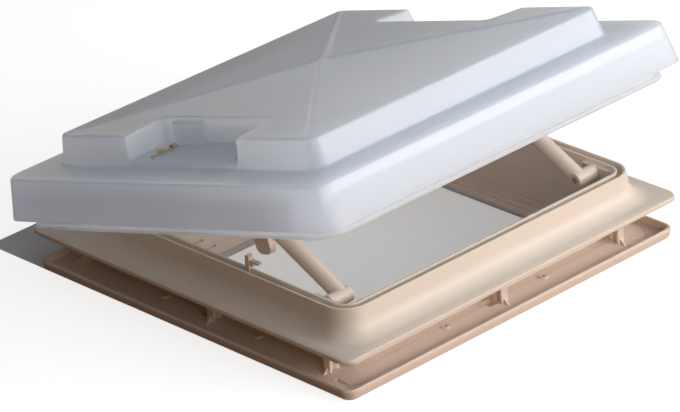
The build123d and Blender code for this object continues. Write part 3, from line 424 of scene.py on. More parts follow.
def noise(nodes, links, vector, scale, detail=3.0, roughness=0.5):
    node = nodes.new("ShaderNodeTexNoise")
    node.inputs["Detail"].default_value = detail
    node.inputs["Roughness"].default_value = roughness
    links.new(vector, node.inputs["Vector"])
    if isinstance(scale, (int, float)):
        node.inputs["Scale"].default_value = scale
    else:
        links.new(scale, node.inputs["Scale"])
    return node.outputs["Fac"]


def moulding_group():
    """Colour drift, gloss drift and fine grain of a moulded plastic surface."""
    group, first, last = new_group(
        "Moulded Surface",
        [
            ("Vector", "NodeSocketVector", None),
            ("Colour", "NodeSocketColor", (0.8, 0.8, 0.8, 1)),
            ("Drift", "NodeSocketFloat", 0.03),
            ("Drift Scale", "NodeSocketFloat", 9.0),
            ("Gloss", "NodeSocketFloat", 0.4),
            ("Gloss Drift", "NodeSocketFloat", 0.08),
            ("Grain Scale", "NodeSocketFloat", 900.0),
            ("Flow Scale", "NodeSocketFloat", 30.0),
        ],
        [("Colour", "NodeSocketColor"), ("Roughness", "NodeSocketFloat"), ("Height", "NodeSocketFloat")],
    )
    nodes, links = group.nodes, group.links
    vector = first.outputs["Vector"]
    drift = noise(nodes, links, vector, first.outputs["Drift Scale"], 4.0, 0.55)
    centred = math_node(nodes, links, "SUBTRACT", drift, 0.5)
    gain = math_node(nodes, links, "MULTIPLY", centred, first.outputs["Drift"])
    factor = math_node(nodes, links, "ADD", gain, 1.0)
    tint = nodes.new("ShaderNodeMix")
    tint.data_type = "RGBA"
    tint.blend_type = "MULTIPLY"
    tint.inputs["Factor"].default_value = 1.0
    grey = nodes.new("ShaderNodeCombineColor")
    for channel in ("Red", "Green", "Blue"):
        links.new(factor, grey.inputs[channel])
    links.new(first.outputs["Colour"], tint.inputs["A"])
    links.new(grey.outputs[0], tint.inputs["B"])
    links.new(tint.outputs["Result"], last.inputs["Colour"])
    patches = noise(nodes, links, vector, first.outputs["Flow Scale"], 5.0, 0.6)
    spread = math_node(nodes, links, "SUBTRACT", patches, 0.5)
    change = math_node(nodes, links, "MULTIPLY", spread, first.outputs["Gloss Drift"])
    links.new(math_node(nodes, links, "ADD", change, first.outputs["Gloss"], clamp=True), last.inputs["Roughness"])
    grain = noise(nodes, links, vector, first.outputs["Grain Scale"], 2.0, 0.5)
    links.new(grain, last.inputs["Height"])
    return group


def dust_group():
    """Pale dust that lies on upward faces, in patches."""
    group, first, last = new_group(
        "Settled Dust",
        [
            ("Vector", "NodeSocketVector", None),
            ("Colour", "NodeSocketColor", (0.8, 0.8, 0.8, 1)),
            ("Dust", "NodeSocketColor", (0.6, 0.57, 0.53, 1)),
            ("Amount", "NodeSocketFloat", 0.12),
            ("Patch Scale", "NodeSocketFloat", 22.0),
        ],
        [("Colour", "NodeSocketColor"), ("Mask", "NodeSocketFloat")],
    )
    nodes, links = group.nodes, group.links
    geometry = nodes.new("ShaderNodeNewGeometry")
    split = nodes.new("ShaderNodeSeparateXYZ")
    links.new(geometry.outputs["Normal"], split.inputs[0])
    upward = math_node(nodes, links, "POWER", math_node(nodes, links, "MAXIMUM", split.outputs["Z"], 0.0), 4.0)
    patches = noise(nodes, links, first.outputs["Vector"], first.outputs["Patch Scale"], 6.0, 0.65)
    spots = math_node(nodes, links, "MULTIPLY", math_node(nodes, links, "SUBTRACT", patches, 0.42), 3.0, clamp=True)
    lying = math_node(nodes, links, "MULTIPLY", upward, spots)
    mask = math_node(nodes, links, "MULTIPLY", lying, first.outputs["Amount"])
    mix = nodes.new("ShaderNodeMix")
    mix.data_type = "RGBA"
    links.new(mask, mix.inputs["Factor"])
    links.new(first.outputs["Colour"], mix.inputs["A"])
    links.new(first.outputs["Dust"], mix.inputs["B"])
    links.new(mix.outputs["Result"], last.inputs["Colour"])
    links.new(mask, last.inputs["Mask"])
    return group


def weave_group():
    """Cover of a plain net: threads along both directions at a pitch, round in section."""
    group, first, last = new_group(
        "Plain Net",
        [
            ("Vector", "NodeSocketVector", None),
            ("Pitch", "NodeSocketFloat", 0.0013),
            ("Thread", "NodeSocketFloat", 0.26),
        ],
        [("Cover", "NodeSocketFloat"), ("Height", "NodeSocketFloat")],
    )
    nodes, links = group.nodes, group.links
    split = nodes.new("ShaderNodeSeparateXYZ")
    links.new(first.outputs["Vector"], split.inputs[0])
    rounds = []
    for axis in ("X", "Y"):
        cell = math_node(nodes, links, "DIVIDE", split.outputs[axis], first.outputs["Pitch"])
        part = math_node(nodes, links, "SUBTRACT", math_node(nodes, links, "FRACT", cell), 0.5)
        distance = math_node(nodes, links, "ABSOLUTE", part)
        across = math_node(nodes, links, "DIVIDE", distance, first.outputs["Thread"])
        inside = math_node(nodes, links, "SUBTRACT", 1.0, across)
        rounds.append(math_node(nodes, links, "MAXIMUM", inside, 0.0))
    height = math_node(nodes, links, "MAXIMUM", rounds[0], rounds[1])
    links.new(height, last.inputs["Height"])
    links.new(math_node(nodes, links, "MULTIPLY", height, 30.0, clamp=True), last.inputs["Cover"])
    return group


def material_base(name):
    """Material with a Principled shader, its nodes and links."""
    material = bpy.data.materials.new(name)
    material.use_nodes = True
    nodes, links = material.node_tree.nodes, material.node_tree.links
    return material, nodes, links, nodes["Principled BSDF"]


def object_vector(nodes):
    return nodes.new("ShaderNodeTexCoord").outputs["Object"]


def use_group(nodes, links, name, **values):
    node = nodes.new("ShaderNodeGroup")
    node.node_tree = bpy.data.node_groups[name]
    for label, value in values.items():
        socket = node.inputs[label.replace("_", " ")]
        if isinstance(value, bpy.types.NodeSocket):
            links.new(value, socket)
        else:
            socket.default_value = value
    return node


def bump(nodes, links, height, strength, distance, shader):
    node = nodes.new("ShaderNodeBump")
    node.inputs["Strength"].default_value = strength
    node.inputs["Distance"].default_value = distance
    links.new(height, node.inputs["Height"])
    links.new(node.outputs["Normal"], shader.inputs["Normal"])


def plastic(
    name, colour, gloss=0.42, drift=0.05, grain=900.0, relief=0.18, dust=0.0, scatter=0.0, radius=(0.004, 0.003, 0.002)
):
    """Moulded plastic with drifting tint and gloss, fine grain and a little dust."""
    material, nodes, links, shader = material_base(name)
    vector = object_vector(nodes)
    surface = use_group(
        nodes, links, "Moulded Surface", Vector=vector, Colour=(*colour, 1), Drift=drift, Gloss=gloss, Grain_Scale=grain
    )
    colour_out = surface.outputs["Colour"]
    if dust:
        settled = use_group(nodes, links, "Settled Dust", Vector=vector, Colour=colour_out, Amount=dust)
        colour_out = settled.outputs["Colour"]
    links.new(colour_out, shader.inputs["Base Color"])
    links.new(surface.outputs["Roughness"], shader.inputs["Roughness"])
    bump(nodes, links, surface.outputs["Height"], relief, 0.00012, shader)
    shader.inputs["IOR"].default_value = 1.49
    if scatter:
        shader.inputs["Subsurface Weight"].default_value = scatter
        shader.inputs["Subsurface Radius"].default_value = radius
        shader.inputs["Subsurface Scale"].default_value = 1.0
    return material


# How the opal shells let light through: share of shadow light that passes a surface, share of
# milky glow, and the clear coat's weight and roughness.
OPAL_PASS = 0.72
OPAL_MILK = 0.48
OPAL_COAT = (0.5, 0.09)


def lets_light_through(material):
    """Opal shell: a share of the light passes, a share glows through, and a clear coat shines."""
    nodes, links = material.node_tree.nodes, material.node_tree.links
    clear = nodes.new("ShaderNodeBsdfTransparent")
    clear.inputs["Color"].default_value = (1.0, 0.97, 0.93, 1)
    glow = nodes.new("ShaderNodeBsdfTranslucent")
    glow.inputs["Color"].default_value = (0.93, 0.95, 0.98, 1)
    shader = nodes["Principled BSDF"]
    shader.inputs["Coat Weight"].default_value = OPAL_COAT[0]
    shader.inputs["Coat Roughness"].default_value = OPAL_COAT[1]
    milk = nodes.new("ShaderNodeMixShader")
    milk.inputs["Fac"].default_value = OPAL_MILK
    links.new(shader.outputs["BSDF"], milk.inputs[1])
    links.new(glow.outputs["BSDF"], milk.inputs[2])
    path = nodes.new("ShaderNodeLightPath")
    passed = math_node(nodes, links, "MULTIPLY", path.outputs["Is Shadow Ray"], OPAL_PASS)
    mix = nodes.new("ShaderNodeMixShader")
    links.new(passed, mix.inputs["Fac"])
    links.new(milk.outputs["Shader"], mix.inputs[1])
    links.new(clear.outputs["BSDF"], mix.inputs[2])
    links.new(mix.outputs["Shader"], nodes["Material Output"].inputs["Surface"])
    return material


def metal(name, colour, gloss=0.3, drift=0.10, grain=2400.0):
    """Plated metal with uneven gloss and light rubbing marks."""
    material, nodes, links, shader = material_base(name)
    vector = object_vector(nodes)
    surface = use_group(
        nodes,
        links,
        "Moulded Surface",
        Vector=vector,
        Colour=(*colour, 1),
        Drift=drift,
        Drift_Scale=140.0,
        Gloss=gloss,
        Gloss_Drift=0.25,
        Grain_Scale=grain,
        Flow_Scale=260.0,
    )
    links.new(surface.outputs["Colour"], shader.inputs["Base Color"])
    links.new(surface.outputs["Roughness"], shader.inputs["Roughness"])
    shader.inputs["Metallic"].default_value = 1.0
    bump(nodes, links, surface.outputs["Height"], 0.15, 0.00006, shader)
    return material


def net_material():
    """Thin woven net that lets light through between its threads."""
    material, nodes, links, shader = material_base("Fly Net Thread")
    vector = object_vector(nodes)
    weave = use_group(nodes, links, "Plain Net", Vector=vector, Pitch=NET_PITCH, Thread=NET_THREAD)
    surface = use_group(
        nodes,
        links,
        "Moulded Surface",
        Vector=vector,
        Colour=(*colours().net, 1),
        Drift=0.10,
        Gloss=0.6,
        Grain_Scale=1800.0,
    )
    links.new(surface.outputs["Colour"], shader.inputs["Base Color"])
    links.new(surface.outputs["Roughness"], shader.inputs["Roughness"])
    links.new(weave.outputs["Cover"], shader.inputs["Alpha"])
    bump(nodes, links, weave.outputs["Height"], 0.5, 0.0002, shader)
    return material


FINISHES = {}


class HATCH_OT_finishes(bpy.types.Operator):
    """Make the plastics, metals, rubber and net"""

    bl_idname = "hatch.finishes"
    bl_label = "Finishes"

    def execute(self, context):
        moulding_group()
        dust_group()
        weave_group()
        tint = colours()
        outer = plastic(
            "Opal Acrylic", tint.opal, gloss=0.20, drift=0.035, grain=500.0, relief=0.03, dust=0.05,
            scatter=0.8, radius=(0.012, 0.013, 0.016),
        )
        inner = plastic(
            "Inner Opal Acrylic", tint.opal_inner, gloss=0.26, drift=0.03, grain=500.0, relief=0.03,
            scatter=0.6, radius=(0.010, 0.010, 0.012),
        )
        FINISHES["opal"] = lets_light_through(outer)
        FINISHES["opal_inner"] = lets_light_through(inner)
        mouldings = (
            ("beige", "Frame Plastic", tint.beige, 0.44, 0.06, 900.0, 0.22, 0.10),
            ("trim", "Trim Plastic", tint.beige_trim, 0.46, 0.06, 900.0, 0.22, 0.08),
            ("stay", "Stay Plastic", tint.beige_stay, 0.38, 0.05, 1300.0, 0.12, 0.0),
            ("clip", "Clip Plastic", tint.beige_trim, 0.42, 0.05, 1300.0, 0.15, 0.0),
            ("screen", "Screen Plastic", tint.beige_trim, 0.46, 0.06, 900.0, 0.22, 0.12),
        )
        for key, name, colour, gloss, drift, grain, relief, dust in mouldings:
            FINISHES[key] = plastic(name, colour, gloss=gloss, drift=drift, grain=grain, relief=relief, dust=dust)
        FINISHES["rubber"] = plastic("Seal Rubber", tint.rubber, gloss=0.62, drift=0.2, grain=1600.0, relief=0.3)
        FINISHES["brass"] = metal("Yellow Brass", tint.brass, gloss=0.30, drift=0.16)
        FINISHES["zinc"] = metal("Zinc Plate", tint.zinc, gloss=0.34)
        FINISHES["net"] = net_material()
        return {"FINISHED"}


# Outer dome: one grid whose lines bend round the corners of the square and of the recesses.

RECESS_MIDDLE_X = 0.1574
RECESS_HALF_Y = 0.09155
RECESS_SHIFT_Y = -0.001
RECESS_CORNER = 0.008
WALL_STEPS = np.array([-3.0, -1.9, -1.2, -0.9, 0.9, 1.2, 2.2, 4.0]) / 1000
WALL_SHARE = np.array([0.0, 0.010, 0.045, 0.115, 0.885, 0.955, 0.990, 1.0])
BLOCK_Y = (0.0205, 0.0735)
BLOCK_FRONT = 0.162
BLOCK_RISE = 0.024


def dome_profile(s):
    """Half widths, corner radii and heights of the dome's rings, from the apex to the edge."""
    corners = [
        (0.0, s.apex_height),
        (s.tier_top, s.tier_height),
        (s.tier, s.ledge_height),
        (s.ledge, s.ledge_height),
        (s.skirt, 0.0),
    ]
    radii = [0.0, 0.0036, 0.0028, 0.0034, 0.0]
    line = soften(corners, radii, steps=5)
    keep = np.concatenate([[True], np.diff(line[:, 0]) > 1e-6])
    return line[keep]


def grid_lines(s):
    """Positions of the dome's grid lines with their heights and corner radii.

    Even steps up the hips, a tight pair of rows at every fold of the profile, and rows that
    follow the walls of the side recesses and of their raised blocks.
    """
    profile = dome_profile(s)
    hip_end = profile[1, 0]
    walls = np.concatenate(
        [
            RECESS_MIDDLE_X + WALL_STEPS,
            RECESS_HALF_Y - WALL_STEPS,
            [BLOCK_FRONT - 0.0006, BLOCK_FRONT + 0.0006],
            [BLOCK_Y[0] - 0.0006 + 0.001, BLOCK_Y[0] + 0.0006 + 0.001],
            [BLOCK_Y[1] - 0.0006 + 0.001, BLOCK_Y[1] + 0.0006 + 0.001],
        ]
    )
    walls = np.unique(np.round(walls, 6))
    walls = walls[np.concatenate([[True], np.diff(walls) > 0.00025])]
    even = np.arange(0, hip_end - 0.001, 0.0025)
    clear = np.min(np.abs(even[:, None] - walls[None]), axis=1) > 0.0011
    even = even[clear]
    wall_heights = [0.058, 0.0535, 0.0522, 0.0514, 0.0506, 0.0495]
    tier_rows = np.interp(wall_heights, [s.ledge_height, s.tier_height], [s.tier, s.tier_top])
    ledge_rows = np.arange(profile[12, 0] + 0.002, s.ledge - 0.006, 0.0045)
    lines = np.unique(np.round(np.concatenate([even, walls, profile[:, 0], tier_rows, ledge_rows]), 7))
    lines = lines[np.concatenate([[True], np.diff(lines) > 0.00004])]
    heights = np.interp(lines, profile[:, 0], profile[:, 1])
    radii = np.interp(
        lines,
        [0.0, 0.003, s.tier_top - 0.0014, s.tier, s.ledge, s.skirt],
        [0.0, 0.001, 0.0115, 0.019, 0.025, 0.0243],
    )
    return lines, heights, radii


def outer_dome_surface(s):
    """Points of the outer skin as a square grid, and the corner radius of each of its rings.

    Grid point (i, j) lies on ring max(|i|, |j|). Along a side its other coordinate is the line
    position itself, and in the last stretch before the corner it is the same share of a
    quarter-circle as of that stretch, so that the grid turns the corner on arcs.
    """
    lines, heights, radii = grid_lines(s)
    last = len(lines) - 1
    index = np.arange(-last, last + 1)
    i, j = np.meshgrid(index, index, indexing="ij")
    ring = np.maximum(np.abs(i), np.abs(j))
    cross = np.minimum(np.abs(i), np.abs(j))
    half = lines[ring]
    radius = radii[ring]
    along = lines[cross]
    straight = half - radius
    angle = np.clip((along - straight) / np.maximum(radius, 1e-9), 0, 1) * math.pi / 4
    major = np.where(along <= straight, half, straight + radius * np.cos(angle))
    minor = np.where(along <= straight, along, straight + radius * np.sin(angle))
    on_x = np.abs(i) >= np.abs(j)
    x = np.where(on_x, major, minor) * np.sign(i)
    y = np.where(on_x, minor, major) * np.sign(j)
    z = heights[ring]

    # Side recesses: the grid lines bend round their corners, then the floor is let in.
    a = np.abs(x)
    b = np.abs(y)
    p = RECESS_MIDDLE_X + RECESS_CORNER - a
    q = b - (RECESS_HALF_Y - RECESS_CORNER)
    m = np.maximum(p, q)
    n = np.minimum(p, q)
    near = (p > 0) & (q > 0) & on_x & (ring > 0)
    ease = np.clip((0.022 - m) / (0.022 - 0.0095), 0, 1)
    ease = np.where(near, ease * ease * (3 - 2 * ease), 0.0)
    bend = np.where(near, n / np.maximum(m, 1e-9), 0.0) * math.pi / 4
    p_arc = np.where(p >= q, m * np.cos(bend), m * np.sin(bend))
    q_arc = np.where(p >= q, m * np.sin(bend), m * np.cos(bend))
    depth = np.minimum(a - RECESS_MIDDLE_X, RECESS_HALF_Y - b)
    new_a = a - ease * (p_arc - p)
    new_b = b + ease * (q_arc - q)
    hips = on_x & (new_a < s.tier_top - 0.008)
    profile_z = np.interp(new_a, lines, heights)
    z = np.where(hips & near, profile_z, z)
    x = np.where(near, new_a * np.sign(x), x)
    y = np.where(near, new_b * np.sign(y), y)
    share = np.where(on_x, np.interp(depth, WALL_STEPS, WALL_SHARE), 0.0)
    window = np.clip((depth + 0.02) / 0.015, 0, 1) * on_x
    y = y + RECESS_SHIFT_Y * window * window * (3 - 2 * window)
    over = np.clip((z - s.recess_floor) / 0.0026, 0, 1)
    edge = s.recess_floor - 0.0008 * (1 - over) ** 2
    floor = np.where(z > s.recess_floor, edge, np.minimum(z, s.recess_floor - 0.0008))
    let_in = z + (floor - z) * share
    block_y = np.abs(y - sum(BLOCK_Y) / 2)
    half_block = (BLOCK_Y[1] - BLOCK_Y[0]) / 2
    side_share = np.clip((half_block + 0.0007 - block_y) / 0.0014, 0, 1)
    front_share = np.clip((BLOCK_FRONT + 0.0007 - np.abs(x)) / 0.0014, 0, 1)
    block = s.recess_floor + BLOCK_RISE * side_share * front_share
    in_recess = on_x & (depth > -0.001) & (np.abs(x) < BLOCK_FRONT + 0.001)
    z = np.where(in_recess, np.maximum(let_in, np.minimum(block, z)), let_in)

    # Hip ridges: a soft swell along each diagonal, the square of a cosine wide, faded out at the corner.
    off = np.abs(np.abs(x) - np.abs(y)) / math.sqrt(2)
    swell = np.cos(np.clip(off / s.ridge_width, 0, 1) * math.pi / 2) ** 2
    fade = np.clip((s.tier_top + 0.0005 - half) / 0.008, 0, 1)
    z = z + np.where(half < s.tier_top + 0.0005, s.ridge_rise * swell * fade, 0)
    return np.stack([x, y, z], axis=-1), radii


def dome_rim_loop(grid):
    """Indices of the grid's border, anticlockwise, starting at its (+x, -y) corner."""
    n = grid.shape[0]
    table = np.arange(n * n).reshape(n, n)
    return np.concatenate([table[-1, :-1], table[:0:-1, -1], table[0, :0:-1], table[:-1, 0]])


class HATCH_OT_outer_dome(bpy.types.Operator):
    """Mould the opal outer dome with its tier, hip ridges and side recesses"""

    bl_idname = "hatch.outer_dome"
    bl_label = "Outer Dome"

    def execute(self, context):
        s = sizes()
        grid, radii = outer_dome_surface(s)
        n = grid.shape[0]
        points = grid.reshape(-1, 3)
        quads = grid_faces(n, n, wrap_columns=False)[:, ::-1]
        loop = dome_rim_loop(grid)
        rim = points[loop]
        # Inside: the rim's ring is carried inwards and up, keeping each point's share of its side.
        inner = [
            (s.skirt - 0.0004, 0.0239, -0.0004),
            (s.skirt - 0.0010, 0.0233, -0.0006),
            (s.skirt - 0.0022, 0.0221, -0.0006),
            (s.skirt - 0.0028, 0.0215, -0.0003),
            (s.skirt - 0.0030, 0.0213, 0.0006),
            (s.ledge - 0.0031, 0.0220, s.ledge_height - 0.005),
            (s.ledge - 0.0046, 0.0220, s.ledge_height - 0.003),
            (0.151, 0.015, s.ledge_height - 0.003),
            (0.149, 0.013, 0.074),
            (0.003, 0.001, s.apex_height - 0.004),
        ]
        straight = s.skirt - radii[-1]
        rows = []
        for half, radius, height in inner:
            reach = half - radius
            signs = np.sign(rim[:, :2])
            size = np.abs(rim[:, :2])
            run = size * (reach / straight)
            arc = (size - straight) / radii[-1] * radius + reach
            moved = np.where(size <= straight, run, arc)
            moved = np.where((size <= straight).any(axis=1)[:, None] & (size > straight), half, moved)
            rows.append(np.column_stack([moved * signs, np.full(len(rim), height)]))
        inside = np.array(rows)
        count = len(points)
        columns = len(loop)
        below = count + np.arange(columns)
        first = np.stack([loop, np.roll(loop, -1), np.roll(below, -1), below], axis=-1)
        rest = grid_faces(len(inner), columns) + count
        lid = count + (len(inner) - 1) * columns + np.arange(columns)
        everything = np.vstack([points, inside.reshape(-1, 3)])
        faces = [quads, first[:, ::-1], rest[:, ::-1], lid[None]]
        points = raised(everything, s.raised_by)
        piece = build("opal_outer_dome", points, faces, "lid", FINISHES["opal"], ["outer_dome"])
        fix_outward(piece)
        return {"FINISHED"}


def fix_outward(piece):
    """Turn every face of a closed mesh outwards."""
    import bmesh

    mesh = bmesh.new()
    mesh.from_mesh(piece.data)
    bmesh.ops.recalc_face_normals(mesh, faces=mesh.faces)
    mesh.to_mesh(piece.data)
    mesh.free()


class HATCH_OT_inner_dome(bpy.types.Operator):
    """Mould the inner dome with its raised field, join flange and lip, and its seal"""

    bl_idname = "hatch.inner_dome"
    bl_label = "Inner Dome and Seal"

    def execute(self, context):
        s = sizes()
        corners = np.array(
            [
                (252.0, -14.2),
                (252.0, -9.7),
                (244.8, -9.7),
                (244.2, 1.0),
                (262.7, 1.0),
                (262.5, 3.5),
                (244.0, 3.5),
                (243.0, 35.5),
                (137.5, 35.5),
                (132.5, 60.5),
                (0.8, 60.5),
                (0.8, 58.0),
                (130.0, 58.0),
                (135.0, 33.0),
                (208.2, 33.0),
                (208.2, 13.5),
                (210.2, 13.5),
                (210.2, 33.0),
                (240.5, 33.0),
                (242.5, -14.2),
            ]
        )
        radii = [1.4, 0.9, 0.8, 0.6, 0.5, 0.5, 1.0, 3.0, 3.0, 4.0, 0, 0, 5.0, 2.0, 0.6, 0.4, 0.4, 0.6, 2.5, 0.8]
        line = soften(corners, radii, steps=4)
        widths = [0.8, 130.0, 137.5, 208.2, 210.2, 240.5, 245.0, 252.0, 263.0]
        turn = [0.4, 14.0, 20.0, 21.1, 23.1, 17.5, 22.0, 29.0, 21.3]
        rings = square_rings(line / 1000, np.interp(line[:, 0], widths, turn) / 1000)
        points, faces = ring_solid(raised(rings, s.raised_by))
        build("opal_inner_dome", points, faces, "lid", FINISHES["opal_inner"], ["inner_dome"])

        seal = soften(
            [
                (211.4, 11.2),
                (211.4, 17.2),
                (210.3, 17.2),
                (210.3, 13.4),
                (208.1, 13.4),
                (208.1, 17.2),
                (207.2, 17.2),
                (207.2, 11.2),
            ],
            [1.6, 0.4, 0, 0, 0, 0, 0.4, 1.6],
            steps=4,
        )
        rings = square_rings(seal / 1000, (28.5 - (215.6 - seal[:, 0])) / 1000)
        points, faces = ring_solid(raised(rings, s.raised_by))
        build("rubber_lid_seal", points, faces, "lid", FINISHES["rubber"], ["lid_seal"])
        return {"FINISHED"}


# Roof frame

FLARE_WALL = 0.003
# Hinge ears: distance of each hinge from the middle, where its two ears start, and their thickness.
HINGE_X = 0.120
EAR_STARTS = (-0.0143, 0.0093)
EAR_THICKNESS = 0.005


def frame_profile(s):
    """Closed section of the roof frame, anticlockwise: flange, flare, rim, groove, bore, collar."""
    lip = s.flange_lip
    foot = s.flare_foot
    centre = (foot, lip + s.flare_radius)
    up = np.radians(np.linspace(0, 90, 11))
    flare = np.stack([centre[0] - s.flare_radius * np.sin(up), centre[1] - s.flare_radius * np.cos(up)], axis=-1)
    down = np.radians(np.linspace(86, 0, 6))
    under = s.flare_radius + FLARE_WALL
    skin = np.stack([centre[0] - under * np.sin(down), centre[1] - under * np.cos(down)], axis=-1)
    rim = s.rim_height
    edge = [(s.flange, 0.0), (s.flange, lip), (foot, lip), (foot, 0.0)]
    flange = soften(edge, [0.0007, 0.0016, 0, 0], steps=4)[:12]
    head = soften(
        [
            (0.2175, 0.0252),
            (s.upstand, rim),
            (0.2125, rim),
            (0.2125, 0.027),
            (0.206, 0.027),
            (0.206, rim),
            (0.203, rim),
            (0.1972, 0.0),
            (0.1955, -0.036),
            (0.1985, -0.036),
            (0.1995, 0.0),
            (0.2002, 0.0),
            (0.2039, 0.0236),
            (0.2130, 0.0236),
        ],
        [0, 0.0011, 0.0009, 0.0012, 0.0012, 0.0009, 0.0011, 0.004, 0.0008, 0.0006, 0, 0, 0, 0],
        steps=4,
    )
    return np.vstack([flange, flare[:-1], head, skin, [(foot, 0.0)]])


def frame_corner(half):
    """Corner radius of the roof frame at a half width."""
    return np.interp(half, [0.1955, 0.2156, 0.2375, 0.2475], [0.0084, 0.0285, 0.036, 0.015])


class HATCH_OT_roof_frame(bpy.types.Operator):
    """Mould the roof frame with its flared upstand, seal groove, collar and hinge ears"""

    bl_idname = "hatch.roof_frame"
    bl_label = "Roof Frame"

    def execute(self, context):
        s = sizes()
        line = frame_profile(s)
        rings = square_rings(line, frame_corner(line[:, 0]), turns=12)
        parts = [ring_solid(rings)]
        for side in (-1, 1):
            for start in EAR_STARTS:
                x = side * HINGE_X + start
                circles = [(HINGE_Y, HINGE_Z, 0.0042), (0.2171, 0.0304, 0.002), (0.2196, 0.016, 0.002)]
                parts.append(hull_plate(x, x + EAR_THICKNESS, circles))
        points, faces = joined(parts)
        build("beige_roof_frame", points, faces, "root", FINISHES["beige"], ["roof_frame"], sharp=50)
        return {"FINISHED"}


# Fly net: lines across and along, how far it sags and ripples, thread pitch and thread's share of it.
NET_LINES = (49, 41)
NET_SAG = 0.0010
NET_RIPPLE = 0.00012
NET_PITCH = 0.0013
NET_THREAD = 0.18


class HATCH_OT_fly_net(bpy.types.Operator):
    """Stretch the fly net over the screen frame's opening"""

    bl_idname = "hatch.fly_net"
    bl_label = "Fly Net"

    def execute(self, context):
        low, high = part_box("fly_net")
        u = np.linspace(0, 1, NET_LINES[0])
        v = np.linspace(0, 1, NET_LINES[1])
        across, along = np.meshgrid(u, v, indexing="ij")
        sag = np.sin(across * math.pi) * np.sin(along * math.pi)
        ripple = np.sin(across * 21.0 + 2.0 * along) * np.sin(along * 17.0)
        x = low.x + (high.x - low.x) * across
        y = low.y + (high.y - low.y) * along
        z = high.z - 0.0001 - NET_SAG * sag + NET_RIPPLE * ripple * sag
        points = np.stack([x, y, z], axis=-1)
        faces = grid_faces(*NET_LINES, wrap_columns=False)
        piece = build("net_fly_screen", points, faces, "root", FINISHES["net"], ["fly_net"])
        return {"FINISHED"}


NODE_FINISH = {
    "ceiling_trim": "trim",
    "clamp_claws": "clip",
    "clamp_screws": "zinc",
    "screen_frame": "screen",
    "recess_clips": "brass",
    "recess_bolts": "zinc",
    "bolt_sleeves": "opal_inner",
    "bolt_nuts": "zinc",
    "leaf_screws": "zinc",
    "latch_screws": "zinc",
    "foot_rivets": "zinc",
    "hinge_pin": "zinc",
    "catch": "clip",
    "stay_foot": "stay",
    "foot_pin": "zinc",
    "hinge_leaf": "stay",
    "stay_bracket": "stay",
    "latch_mount": "stay",
    "latch_pin": "zinc",
    "latch_handle": "stay",
    "stay_tube": "stay",
    "stay_bush": "stay",
    "stay_lock": "stay",
    "stay_rod": "stay",
    "stay_pin": "zinc",
}


class HATCH_OT_node_finishes(bpy.types.Operator):
    """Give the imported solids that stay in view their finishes"""

    bl_idname = "hatch.node_finishes"
    bl_label = "Solids' Finishes"

    def execute(self, context):
        for name, node in frame["nodes"].items():
            key = name.removesuffix("_left").removesuffix("_right")
            if key not in NODE_FINISH:
                continue
            for i in range(max(1, len(node.material_slots))):
                if i < len(node.material_slots):
                    node.material_slots[i].material = FINISHES[NODE_FINISH[key]]
                else:
                    node.data.materials.append(FINISHES[NODE_FINISH[key]])
        return {"FINISHED"}


# Studio

# Reach of the painted shade on the floor below the vent panel: y from, y to, half width in x.
VENT_PAINTED_SHADE = (0.100, 0.330, 0.24)
FLOOR_REACH = 6.0
FLOOR_LINES = 25
FLOOR_GLOW = 0.74
LAMP_DISTANCE = 2.2


def seen_directly(nodes, links):
    """1 for rays from the camera and rays that came through glass, otherwise 0."""
    path = nodes.new("ShaderNodeLightPath")
    return math_node(nodes, links, "MAXIMUM", path.outputs["Is Camera Ray"], path.outputs["Is Transmission Ray"])


def stage_floor(studio):
    """Wide flat floor: the camera sees it near white, with painted shade below the vent panel, and the light that it
    sends back is dim and warm.
    """
    u = np.linspace(-FLOOR_REACH, FLOOR_REACH, FLOOR_LINES)
    x, y = np.meshgrid(u, u, indexing="ij")
    points = np.stack([x, y, np.full_like(x, studio.floor_z)], axis=-1)
    mesh = bpy.data.meshes.new("studio_floor")
    faces = grid_faces(FLOOR_LINES, FLOOR_LINES, wrap_columns=False)
    mesh.from_pydata(points.reshape(-1, 3).tolist(), [], faces.tolist())
    floor = bpy.data.objects.new("studio_floor", mesh)
    bpy.context.scene.collection.objects.link(floor)
    material = bpy.data.materials.new("Studio Floor")
    material.use_nodes = True
    nodes, links = material.node_tree.nodes, material.node_tree.links
    nodes.clear()
    out = nodes.new("ShaderNodeOutputMaterial")
    seen = nodes.new("ShaderNodeBsdfDiffuse")
    seen.inputs["Color"].default_value = (*colours().floor, 1)
    glow = nodes.new("ShaderNodeEmission")
    glow.inputs["Color"].default_value = (1, 1, 1, 1)
    # Painted shade: the floor's own light is left out below the vent panel, so that its slots look dark.
    split = nodes.new("ShaderNodeSeparateXYZ")
    links.new(object_vector(nodes), split.inputs[0])
    behind = math_node(nodes, links, "GREATER_THAN", split.outputs["Y"], VENT_PAINTED_SHADE[0])
    before = math_node(nodes, links, "LESS_THAN", split.outputs["Y"], VENT_PAINTED_SHADE[1])
    sideways = math_node(nodes, links, "ABSOLUTE", split.outputs["X"])
    beside = math_node(nodes, links, "LESS_THAN", sideways, VENT_PAINTED_SHADE[2])
    between = math_node(nodes, links, "MULTIPLY", behind, before)
    painted_shade = math_node(nodes, links, "MULTIPLY", between, beside)
    lit = math_node(nodes, links, "SUBTRACT", 1.0, painted_shade)
    links.new(math_node(nodes, links, "MULTIPLY", lit, FLOOR_GLOW), glow.inputs["Strength"])
    add = nodes.new("ShaderNodeAddShader")
    links.new(seen.outputs[0], add.inputs[0])
    links.new(glow.outputs[0], add.inputs[1])
    felt = nodes.new("ShaderNodeBsdfDiffuse")
    felt.inputs["Color"].default_value = (0.46, 0.22, 0.07, 1)
    mix = nodes.new("ShaderNodeMixShader")
    links.new(seen_directly(nodes, links), mix.inputs["Fac"])
    links.new(felt.outputs[0], mix.inputs[1])
    links.new(add.outputs[0], mix.inputs[2])
    links.new(mix.outputs[0], out.inputs["Surface"])
    mesh.materials.append(material)
    return floor


